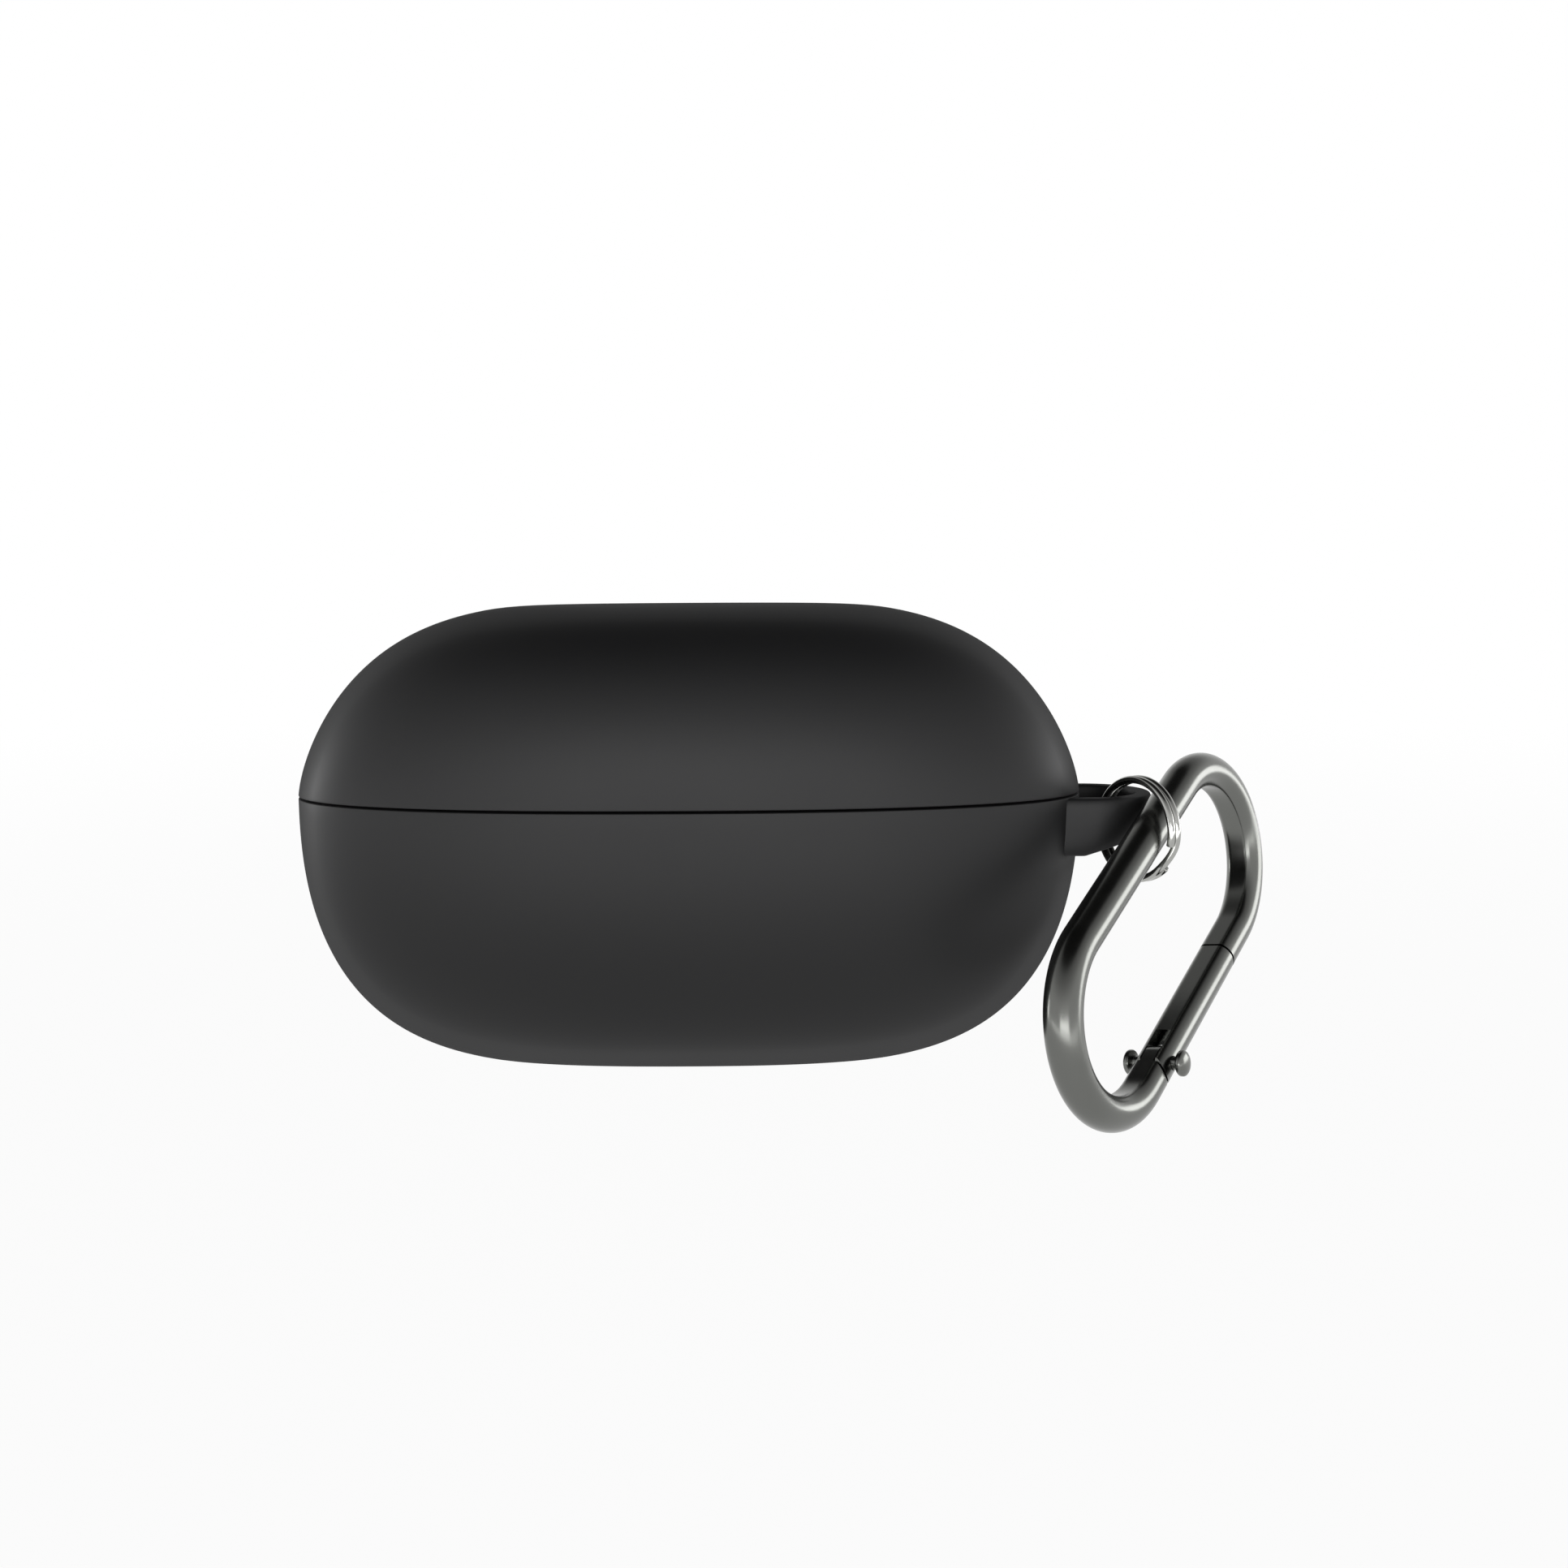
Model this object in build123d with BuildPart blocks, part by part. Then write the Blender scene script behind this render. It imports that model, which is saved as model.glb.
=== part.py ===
"""Earbuds charging case in a silicone travel cover, with a split ring and a snap carabiner.

Frame: millimetres, +Z up, +X towards the strap loop, +Y towards the hinge.  The origin is the centre
of the flat underside that the cover stands on.
"""
from build123d import *
from math import cos, sin, pi, radians, sqrt, tan
import os

os.makedirs("parts", exist_ok=True)

# ---- silicone cover and the case inside it ----
COVER_WIDTH = 72.0
COVER_DEPTH = 29.5
PARTING_HEIGHT = 25.2      # height of the plane where lid and base meet
LID_HEIGHT = 17.4          # from the parting plane to the top
PARTING_GAP = 0.30
COVER_WALL = 1.6
COVER_FIT = 0.15           # silicone to case
CASE_WALL = 1.4
LINER_FIT = 0.10           # mouldings inside the case shells
PLAN_POWER = 2.4           # squareness of the oval seen from above
FLAT_SHARE = 0.985         # share of the dome's height where its flat begins
LID_FRONT_POWERS = (1.46, 4.15)    # how the lid's width falls with height, and how fast at the end
BASE_FRONT_POWERS = (2.4, 4.0)
SIDE_POWERS = (2.6, 2.6)          # the same for the depth

# ---- strap loop ----
STRAP_REACH = 6.8          # beyond the cover's widest point
STRAP_WIDTH = 12.0
STRAP_THICKNESS = 1.6
STRAP_ROOT_HEIGHT = 5.3
STRAP_TIP_HEIGHT = 3.1
STRAP_EDGE = 0.6

# ---- hinge ----
HINGE_OPENING = 95.0       # degrees
HINGE_WIDTH = 16.0
LID_KNUCKLE = 6.6
KNUCKLE_RADIUS = 1.5
KNUCKLE_GAP = 0.2
PIN_RADIUS = 0.6
PIN_CLEARANCE = 0.05
NOTCH_CLEARANCE = 0.25
LEAF_THICKNESS = 0.8
LEAF_HEIGHT = 6.0
LEAF_INSET = 2.0           # from the hinge axis forward to the leaf's rear face
RELIEF_DEPTH = 6.0         # vee's depth behind the hinge axis

# ---- inside the case ----
CRADLE_DROP = 0.6          # cradle's top below the parting plane
CRADLE_FLOOR = 9.0
LINER_LIFT = 0.45          # liner's rim above the parting plane
BUD_SPACING = 35.0
BUD_RADIUS = 8.6
BUD_CENTRE = 1.0           # centre of the bud's bowl above the parting plane
BUD_WALL = 0.9
BUD_TOP = 4.4              # rim of the bud's shell above the parting plane
CAP_RADIUS = 6.9
CAP_THICKNESS = 1.5
CAP_PROUD = 0.4
CAP_EDGE = 0.35
NOZZLE_RADIUS = 2.6
NOZZLE_BORE = 1.7
NOZZLE_END = 10.6          # below the parting plane
TIP_RADIUS = 5.8
TIP_LENGTH = 6.4
TIP_WALL = 0.7
TIP_OVERHANG = 2.4         # tip's mouth beyond the nozzle's end
TIP_SHOULDER = 5.2         # height of its widest part above the mouth
TIP_ROLL = 2.2
POCKET_CLEARANCE = 0.3
LID_CLEARANCE = 0.8
DRIVER_RADIUS = 5.0
DRIVER_HEIGHT = 3.0
CELL_RADIUS = 5.0
CELL_HEIGHT = 4.0
CONTACT_RADIUS = 0.9
CONTACT_LENGTH = 2.7
CONTACT_END = 3.9          # contact's face below the parting plane
CONTACT_OFFSET = 7.6
CONTACT_ANGLE = 35.0
POGO_BARREL_RADIUS = 1.0
POGO_PLUNGER_RADIUS = 0.5
POGO_STROKE_LENGTH = 3.0
BATTERY_WIDTH = 12.0
BATTERY_DEPTH = 17.0
BATTERY_DROP = 3.7         # battery's top below the parting plane
BATTERY_FIT = 0.3
BATTERY_BASE = 10.8
BOARD_BASE = 6.0
BOARD_THICKNESS = 0.8
BOARD_MARGIN = 0.45
SCREW_SPACING = 32.0
SCREW_RADIUS = 0.8
SCREW_HEAD_RADIUS = 1.5
SCREW_HEAD_HEIGHT = 1.0
BOSS_RADIUS = 2.0
USB_WIDTH = 8.94
USB_HEIGHT = 3.26
USB_LENGTH = 7.35
USB_WALL = 0.3
USB_SLOT_FIT = 0.15
USB_TONGUE_WIDTH = 6.6
USB_TONGUE_THICKNESS = 0.7
PORT_WIDTH = 12.5
PORT_HEIGHT = 6.8
PORT_CORNER = 2.4
MAGNET_WIDTH = 6.0
MAGNET_DEPTH = 3.0
MAGNET_HEIGHT = 2.0
MAGNET_SPACING = 8.6
MAGNET_SETBACK = 1.4       # from the moulding's front face
MAGNET_FIT = 0.05

# ---- split ring ----
RING_OUTER_RADIUS = 4.85
RING_WIRE = 0.75
RING_PITCH = 0.70          # between the two turns of wire
RING_SEAT = 32.0           # where it sits on the strap's bend, degrees from +X
RING_TURN = 36.0           # ring's axis, degrees from +X towards +Y
RING_PULL = 1.90           # ring's centre outward from the strap's centre line
RING_DROP = 2.75           # and down from the base's rim
RING_SPLIT = 0.35

# ---- carabiner ----
CARABINER_STRAIGHT = 23.4
CARABINER_WIDTH = 16.5     # spine centre to gate centre
ROD_RADIUS = 1.7
ROD_FLAT = 1.45            # rod centre to the flat on its inner side
SPINE_FROM_RING = (-1.25, -4.79, -2.03)    # from the ring's centre to the middle of the spine
CARABINER_DOWN = (-0.482, -0.743, -0.465)
CARABINER_ACROSS = (0.373, 0.307, -0.876)
GATE_TOP = 7.6             # gate's seam above the carabiner's middle
GATE_PIVOT = 8.0           # rivet below the carabiner's middle
GATE_SEAM = 0.25
GATE_TAIL = 1.75           # gate beyond its rivet
SLOT_WIDTH = 1.5
SLOT_DEPTH = 2.9           # slot above the rivet
TONGUE_THICKNESS = 1.3
TONGUE_RADIUS = 1.45
RIVET_RADIUS = 0.6
RIVET_CLEARANCE = 0.05
RIVET_NECK = 0.6
RIVET_HEAD_RADIUS = 1.15
RIVET_HEAD_HEIGHT = 0.75
RIVET_HEAD_ROUND = 0.35
SPRING_RADIUS = 0.85
SPRING_WALL = 0.3
SPRING_LENGTH = 6.0
PLUNGER_LENGTH = 2.4

HALF_WIDTH = COVER_WIDTH / 2
HALF_DEPTH = COVER_DEPTH / 2
CASE_INSET = COVER_WALL + COVER_FIT
CAVITY_INSET = CASE_INSET + CASE_WALL
LINER_INSET = CAVITY_INSET + LINER_FIT
LID_FLOOR = PARTING_HEIGHT + PARTING_GAP / 2
BASE_RIM = PARTING_HEIGHT - PARTING_GAP / 2
HINGE_Y = HALF_DEPTH - CASE_INSET
HINGE_RELIEF = HINGE_OPENING / 2 + 2.5
STRAP_TIP = HALF_WIDTH + STRAP_REACH


def form_size(full, share, powers):
    """Half size of the pebble form where the share of its dome's height has been climbed."""
    rise, turn = powers
    return full * (1 - share**rise) ** (1 / turn)


def outline(height, inset=0.0):
    """Oval section of the pebble form at a height, drawn in all round by the inset."""
    above = height - PARTING_HEIGHT
    reach = (LID_HEIGHT if above > 0 else PARTING_HEIGHT) - inset
    share = min(abs(above) / reach, 1.0) * FLAT_SHARE
    powers = LID_FRONT_POWERS if above > 0 else BASE_FRONT_POWERS
    half_width = form_size(HALF_WIDTH - inset, share, powers)
    half_depth = form_size(HALF_DEPTH - inset, share, SIDE_POWERS)
    corners = []
    for step in range(24):
        turn = step * pi / 12
        along = abs(cos(turn)) ** (2 / PLAN_POWER) * (1 if cos(turn) > 0 else -1)
        across = abs(sin(turn)) ** (2 / PLAN_POWER) * (1 if sin(turn) > 0 else -1)
        corners.append((half_width * along, half_depth * across))
    with BuildSketch(Plane.XY.offset(height)) as section:
        with BuildLine():
            Spline(*corners, periodic=True)
        make_face()
    return section.sketch


def pebble(inset, start, end, levels=7):
    """Sections of the pebble form from one height to another, closer together towards the end."""
    return [outline(start + (end - start) * sin(step * pi / 2 / levels), inset)
            for step in range(levels + 1)]


def hinge_relief():
    """Vee behind the hinge axis that lets the lid swing back, with the round notch for its knuckles."""
    spread = RELIEF_DEPTH * tan(radians(HINGE_RELIEF))
    with BuildSketch(Plane.YZ) as relief:
        with BuildLine():
            Polyline((HINGE_Y, PARTING_HEIGHT), (HINGE_Y + RELIEF_DEPTH, PARTING_HEIGHT + spread),
                     (HINGE_Y + RELIEF_DEPTH, PARTING_HEIGHT - spread), close=True)
        make_face()
    return relief.sketch


def knuckle_notch():
    """Side profile of the room that the knuckles and their webs need in both rims."""
    reach = CASE_WALL + LEAF_INSET
    with BuildSketch(Plane.YZ) as notch:
        with Locations((HINGE_Y, PARTING_HEIGHT)):
            Circle(KNUCKLE_RADIUS + NOTCH_CLEARANCE)
        with Locations((HINGE_Y - reach / 2, PARTING_HEIGHT)):
            Rectangle(reach, 2 * (PARTING_GAP / 2 + LEAF_THICKNESS + 2 * NOTCH_CLEARANCE))
    return notch.sketch


NOTCH_HALF = HINGE_WIDTH / 2 + NOTCH_CLEARANCE

# ---- strap loop: a silicone band that leaves the cover's side, bends round and comes back ----
with BuildPart() as strap_blank:
    with BuildSketch(Plane.XZ):
        with BuildLine():
            Polyline((HALF_WIDTH - 4, BASE_RIM), (STRAP_TIP, BASE_RIM),
                     (STRAP_TIP, BASE_RIM - STRAP_TIP_HEIGHT),
                     (HALF_WIDTH, BASE_RIM - STRAP_ROOT_HEIGHT),
                     (HALF_WIDTH - 4, BASE_RIM - STRAP_ROOT_HEIGHT), close=True)
        make_face()
    extrude(amount=STRAP_WIDTH / 2, both=True)
    with BuildSketch(Plane.XY.offset(BASE_RIM)):
        SlotOverall(2 * STRAP_TIP, STRAP_WIDTH)
    extrude(amount=-STRAP_ROOT_HEIGHT, mode=Mode.INTERSECT)
    with BuildSketch(Plane.XY.offset(BASE_RIM)):
        SlotOverall(2 * (STRAP_TIP - STRAP_THICKNESS), STRAP_WIDTH - 2 * STRAP_THICKNESS)
    extrude(amount=-STRAP_ROOT_HEIGHT, mode=Mode.SUBTRACT)
    fillet(strap_blank.edges().group_by(Axis.Z)[-1].filter_by(lambda edge: edge.center().X > HALF_WIDTH - 1),
           STRAP_EDGE)

# ---- cover base ----
USB_HEIGHT_CENTRE = BOARD_BASE + BOARD_THICKNESS + USB_HEIGHT / 2
with BuildPart() as cover_base:
    loft(sections=pebble(0, BASE_RIM, 0))
    add(strap_blank.part)
    loft(sections=pebble(CASE_INSET, BASE_RIM, CASE_INSET), mode=Mode.SUBTRACT)
    extrude(hinge_relief(), amount=HALF_WIDTH, both=True, mode=Mode.SUBTRACT)
    extrude(knuckle_notch(), amount=NOTCH_HALF, both=True, mode=Mode.SUBTRACT)
    with BuildSketch(Plane.XZ):
        with Locations((0, USB_HEIGHT_CENTRE)):
            RectangleRounded(PORT_WIDTH, PORT_HEIGHT, PORT_CORNER)
    extrude(amount=-COVER_DEPTH, mode=Mode.SUBTRACT)

# ---- cover lid ----
with BuildPart() as cover_lid:
    loft(sections=pebble(0, LID_FLOOR, PARTING_HEIGHT + LID_HEIGHT))
    loft(sections=pebble(CASE_INSET, LID_FLOOR, PARTING_HEIGHT + LID_HEIGHT - CASE_INSET),
         mode=Mode.SUBTRACT)
    extrude(hinge_relief(), amount=HALF_WIDTH, both=True, mode=Mode.SUBTRACT)
    extrude(knuckle_notch(), amount=NOTCH_HALF, both=True, mode=Mode.SUBTRACT)

# ---- charging case shells ----
with BuildPart() as case_base_shell:
    loft(sections=pebble(CASE_INSET, BASE_RIM, CASE_INSET))
    loft(sections=pebble(CAVITY_INSET, BASE_RIM, CAVITY_INSET), mode=Mode.SUBTRACT)
    with BuildSketch(Plane.XY.offset(BOARD_BASE)):
        with GridLocations(SCREW_SPACING, 0, 2, 1):
            Circle(BOSS_RADIUS)
    extrude(amount=CAVITY_INSET - CASE_WALL / 2 - BOARD_BASE)
    with BuildSketch(Plane.XY.offset(BOARD_BASE)):
        with GridLocations(SCREW_SPACING, 0, 2, 1):
            Circle(SCREW_RADIUS)
    extrude(amount=CAVITY_INSET - BOARD_BASE, mode=Mode.SUBTRACT)
    extrude(knuckle_notch(), amount=NOTCH_HALF, both=True, mode=Mode.SUBTRACT)
    with BuildSketch(Plane.XZ):
        with Locations((0, USB_HEIGHT_CENTRE)):
            RectangleRounded(USB_WIDTH + 2 * USB_SLOT_FIT, USB_HEIGHT + 2 * USB_SLOT_FIT, 1.4)
    extrude(amount=-COVER_DEPTH, mode=Mode.SUBTRACT)

with BuildPart() as case_lid_shell:
    loft(sections=pebble(CASE_INSET, LID_FLOOR, PARTING_HEIGHT + LID_HEIGHT - CASE_INSET))
    loft(sections=pebble(CAVITY_INSET, LID_FLOOR, PARTING_HEIGHT + LID_HEIGHT - CAVITY_INSET),
         mode=Mode.SUBTRACT)
    extrude(knuckle_notch(), amount=NOTCH_HALF, both=True, mode=Mode.SUBTRACT)

# ---- hinge: two stamped leaves whose knuckles share one pin ----
LEAF_REAR = HINGE_Y - LEAF_INSET
LEAF_FRONT = LEAF_REAR - LEAF_THICKNESS
BASE_KNUCKLE = (HINGE_WIDTH - LID_KNUCKLE) / 2 - KNUCKLE_GAP


def knuckle_profile(side):
    """Knuckle with its web, below the parting plane for side -1 and above it for side 1."""
    near = PARTING_HEIGHT + side * (PARTING_GAP / 2 + 0.1)
    with BuildSketch(Plane.YZ) as profile:
        with Locations((HINGE_Y, PARTING_HEIGHT)):
            Circle(KNUCKLE_RADIUS)
        with Locations(((LEAF_FRONT + HINGE_Y) / 2, near + side * LEAF_THICKNESS / 2)):
            Rectangle(HINGE_Y - LEAF_FRONT, LEAF_THICKNESS)
    return profile.sketch


def leaf_plate(side):
    """Upright plate of a leaf, in side view."""
    near = PARTING_GAP / 2 + 0.1
    with BuildSketch(Plane.YZ) as plate:
        with Locations(((LEAF_FRONT + LEAF_REAR) / 2, PARTING_HEIGHT + side * (near + LEAF_HEIGHT) / 2)):
            Rectangle(LEAF_THICKNESS, LEAF_HEIGHT - near)
    return plate.sketch


with BuildPart() as hinge_base_leaf:
    extrude(leaf_plate(-1), amount=HINGE_WIDTH / 2, both=True)
    for side in (-1, 1):
        with Locations((side * (HINGE_WIDTH / 2 - BASE_KNUCKLE / 2), 0, 0)):
            add(extrude(knuckle_profile(-1), amount=BASE_KNUCKLE / 2, both=True, mode=Mode.PRIVATE))
    with BuildSketch(Plane.YZ):
        with Locations((HINGE_Y, PARTING_HEIGHT)):
            Circle(PIN_RADIUS)
    extrude(amount=HINGE_WIDTH, both=True, mode=Mode.SUBTRACT)

with BuildPart() as hinge_lid_leaf:
    extrude(leaf_plate(1), amount=HINGE_WIDTH / 2, both=True)
    extrude(knuckle_profile(1), amount=LID_KNUCKLE / 2, both=True)
    with BuildSketch(Plane.YZ):
        with Locations((HINGE_Y, PARTING_HEIGHT)):
            Circle(PIN_RADIUS + PIN_CLEARANCE)
    extrude(amount=HINGE_WIDTH, both=True, mode=Mode.SUBTRACT)

with BuildPart() as hinge_pin:
    with BuildSketch(Plane.YZ):
        with Locations((HINGE_Y, PARTING_HEIGHT)):
            Circle(PIN_RADIUS)
    extrude(amount=HINGE_WIDTH / 2, both=True)


def leaf_room(side, reach):
    """Side profile of the step in a moulding that makes room for a hinge leaf."""
    with BuildSketch(Plane.YZ) as room:
        with Locations((LEAF_FRONT - NOTCH_CLEARANCE / 2, PARTING_HEIGHT + side * reach / 2)):
            Rectangle(HALF_DEPTH, reach, align=(Align.MIN, Align.CENTER))
    return room.sketch


# ---- closing magnets, sunk in the rims of the cradle and of the lid's liner ----
CRADLE_TOP = PARTING_HEIGHT - CRADLE_DROP
BATTERY_HEIGHT = PARTING_HEIGHT - BATTERY_DROP - BATTERY_BASE
LINER_RIM = PARTING_HEIGHT + LINER_LIFT
MAGNET_Y = -(HALF_DEPTH - LINER_INSET - MAGNET_SETBACK - MAGNET_DEPTH / 2)


def magnet_bar(x, top):
    """Bar magnet whose upper face is at the given height."""
    with BuildPart() as bar:
        with Locations((x, MAGNET_Y, top - MAGNET_HEIGHT / 2)):
            Box(MAGNET_WIDTH, MAGNET_DEPTH, MAGNET_HEIGHT)
    return bar.part


def magnet_pockets(top):
    """Both magnet pockets, a fit clearance larger than the magnets all round."""
    grow = 2 * MAGNET_FIT
    with BuildPart() as pockets:
        with Locations((0, MAGNET_Y, top - MAGNET_HEIGHT / 2)):
            with GridLocations(MAGNET_SPACING, 0, 2, 1):
                Box(MAGNET_WIDTH + grow, MAGNET_DEPTH + grow, MAGNET_HEIGHT + grow)
    return pockets.part


# ---- cradle that holds the earbuds over the board ----
WELL_RADIUS = TIP_RADIUS + POCKET_CLEARANCE
WELL_FLOOR = PARTING_HEIGHT - NOZZLE_END - 2.7
PIN_X = BUD_SPACING / 2 - CONTACT_OFFSET * cos(radians(CONTACT_ANGLE))
PIN_Y = CONTACT_OFFSET * sin(radians(CONTACT_ANGLE))
with BuildPart() as cradle:
    loft(sections=pebble(LINER_INSET, CRADLE_TOP, CRADLE_FLOOR))
    with Locations((0, 0, PARTING_HEIGHT + BUD_CENTRE)):
        with GridLocations(BUD_SPACING, 0, 2, 1):
            Sphere(BUD_RADIUS + POCKET_CLEARANCE, mode=Mode.SUBTRACT)
    with BuildSketch(Plane.XY.offset(WELL_FLOOR)):
        with GridLocations(BUD_SPACING, 0, 2, 1):
            Circle(WELL_RADIUS)
    extrude(amount=PARTING_HEIGHT - WELL_FLOOR, mode=Mode.SUBTRACT)
    with BuildSketch(Plane.XY.offset(CRADLE_FLOOR)):
        with GridLocations(2 * PIN_X, 2 * PIN_Y, 2, 2):
            Circle(POGO_BARREL_RADIUS + MAGNET_FIT)
    extrude(amount=PARTING_HEIGHT - CRADLE_FLOOR, mode=Mode.SUBTRACT)
    with Locations((0, 0, BATTERY_BASE + BATTERY_HEIGHT + BATTERY_FIT)):
        Box(BATTERY_WIDTH + 2 * BATTERY_FIT, BATTERY_DEPTH + 2 * BATTERY_FIT, COVER_WIDTH,
            align=(Align.CENTER, Align.CENTER, Align.MAX), mode=Mode.SUBTRACT)
    with Locations((0, HINGE_Y - 2.7 - USB_LENGTH - BATTERY_FIT, CRADLE_FLOOR)):
        Box(USB_WIDTH + 2 * BATTERY_FIT, COVER_DEPTH,
            2 * (USB_HEIGHT_CENTRE + USB_HEIGHT / 2 + BATTERY_FIT - CRADLE_FLOOR),
            align=(Align.CENTER, Align.MIN, Align.CENTER), mode=Mode.SUBTRACT)
    add(magnet_pockets(CRADLE_TOP - MAGNET_FIT), mode=Mode.SUBTRACT)
    extrude(leaf_room(-1, LEAF_HEIGHT + NOTCH_CLEARANCE), amount=NOTCH_HALF, both=True, mode=Mode.SUBTRACT)

# ---- liner in the lid, with a round hollow over each earbud ----
with BuildPart() as lid_liner:
    loft(sections=pebble(LINER_INSET, LINER_RIM, PARTING_HEIGHT + LID_HEIGHT - LINER_INSET))
    with BuildSketch(Plane.XY.offset(LINER_RIM)):
        with GridLocations(BUD_SPACING, 0, 2, 1):
            Circle(BUD_RADIUS + LID_CLEARANCE)
    extrude(amount=BUD_TOP + 2 * LID_CLEARANCE, mode=Mode.SUBTRACT)
    add(magnet_pockets(LINER_RIM + MAGNET_HEIGHT + MAGNET_FIT), mode=Mode.SUBTRACT)
    extrude(leaf_room(1, LEAF_HEIGHT + NOTCH_CLEARANCE), amount=NOTCH_HALF, both=True, mode=Mode.SUBTRACT)

with BuildPart() as base_magnet_left:
    add(magnet_bar(-MAGNET_SPACING / 2, CRADLE_TOP - MAGNET_FIT))

with BuildPart() as base_magnet_right:
    add(magnet_bar(MAGNET_SPACING / 2, CRADLE_TOP - MAGNET_FIT))

with BuildPart() as lid_magnet_left:
    add(magnet_bar(-MAGNET_SPACING / 2, LINER_RIM + MAGNET_HEIGHT + MAGNET_FIT))

with BuildPart() as lid_magnet_right:
    add(magnet_bar(MAGNET_SPACING / 2, LINER_RIM + MAGNET_HEIGHT + MAGNET_FIT))

# ---- power and electronics in the base ----
with BuildPart() as battery:
    with Locations((0, 0, BATTERY_BASE)):
        Box(BATTERY_WIDTH, BATTERY_DEPTH, BATTERY_HEIGHT, align=(Align.CENTER, Align.CENTER, Align.MIN))
    fillet(battery.edges().filter_by(Axis.Y), 1.0)

with BuildPart() as main_board:
    extrude(outline(BOARD_BASE, CAVITY_INSET + BOARD_MARGIN), amount=BOARD_THICKNESS)
    with BuildSketch(Plane.XY.offset(BOARD_BASE)):
        with GridLocations(SCREW_SPACING, 0, 2, 1):
            Circle(SCREW_RADIUS)
    extrude(amount=BOARD_THICKNESS, mode=Mode.SUBTRACT)


def board_screw(x):
    """Pan-head screw through the board into its boss."""
    head = BOARD_BASE + BOARD_THICKNESS
    with BuildPart() as screw:
        with BuildSketch(Plane.XY.offset(head)):
            with Locations((x, 0)):
                Circle(SCREW_HEAD_RADIUS)
        extrude(amount=SCREW_HEAD_HEIGHT)
        with BuildSketch(Plane.XY.offset(head)):
            with Locations((x, 0)):
                Circle(SCREW_RADIUS)
        extrude(amount=-(BOARD_THICKNESS + BOARD_BASE - CAVITY_INSET - 0.3))
    return screw.part


with BuildPart() as board_screw_left:
    add(board_screw(-SCREW_SPACING / 2))

with BuildPart() as board_screw_right:
    add(board_screw(SCREW_SPACING / 2))

USB_REAR = HINGE_Y - 2.7
with BuildPart() as usb_socket:
    with BuildSketch(Plane.XZ.offset(-USB_REAR)):
        with Locations((0, USB_HEIGHT_CENTRE)):
            RectangleRounded(USB_WIDTH, USB_HEIGHT, 1.2)
    extrude(amount=USB_LENGTH)
    with BuildSketch(Plane.XZ.offset(-USB_REAR)):
        with Locations((0, USB_HEIGHT_CENTRE)):
            RectangleRounded(USB_WIDTH - 2 * USB_WALL, USB_HEIGHT - 2 * USB_WALL, 1.2 - USB_WALL)
    extrude(amount=USB_LENGTH - USB_WALL, mode=Mode.SUBTRACT)

with BuildPart() as usb_tongue:
    with Locations((0, USB_REAR - USB_LENGTH + USB_WALL, USB_HEIGHT_CENTRE)):
        Box(USB_TONGUE_WIDTH, USB_LENGTH - USB_WALL - 0.8, USB_TONGUE_THICKNESS,
            align=(Align.CENTER, Align.MIN, Align.CENTER))


def pogo_pin(x, y):
    """Spring contact: a barrel that stands on the board and a thinner plunger that meets the earbud."""
    foot = BOARD_BASE + BOARD_THICKNESS
    tip = PARTING_HEIGHT - CONTACT_END
    with BuildPart() as pogo:
        with BuildSketch(Plane.XY.offset(foot)):
            with Locations((x, y)):
                Circle(POGO_BARREL_RADIUS)
        extrude(amount=tip - POGO_STROKE_LENGTH - foot)
        with BuildSketch(Plane.XY.offset(tip - POGO_STROKE_LENGTH)):
            with Locations((x, y)):
                Circle(POGO_PLUNGER_RADIUS)
        extrude(amount=POGO_STROKE_LENGTH)
    return pogo.part


with BuildPart() as pogo_left_front:
    add(pogo_pin(-PIN_X, -PIN_Y))

with BuildPart() as pogo_left_rear:
    add(pogo_pin(-PIN_X, PIN_Y))

with BuildPart() as pogo_right_front:
    add(pogo_pin(PIN_X, -PIN_Y))

with BuildPart() as pogo_right_rear:
    add(pogo_pin(PIN_X, PIN_Y))

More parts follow.
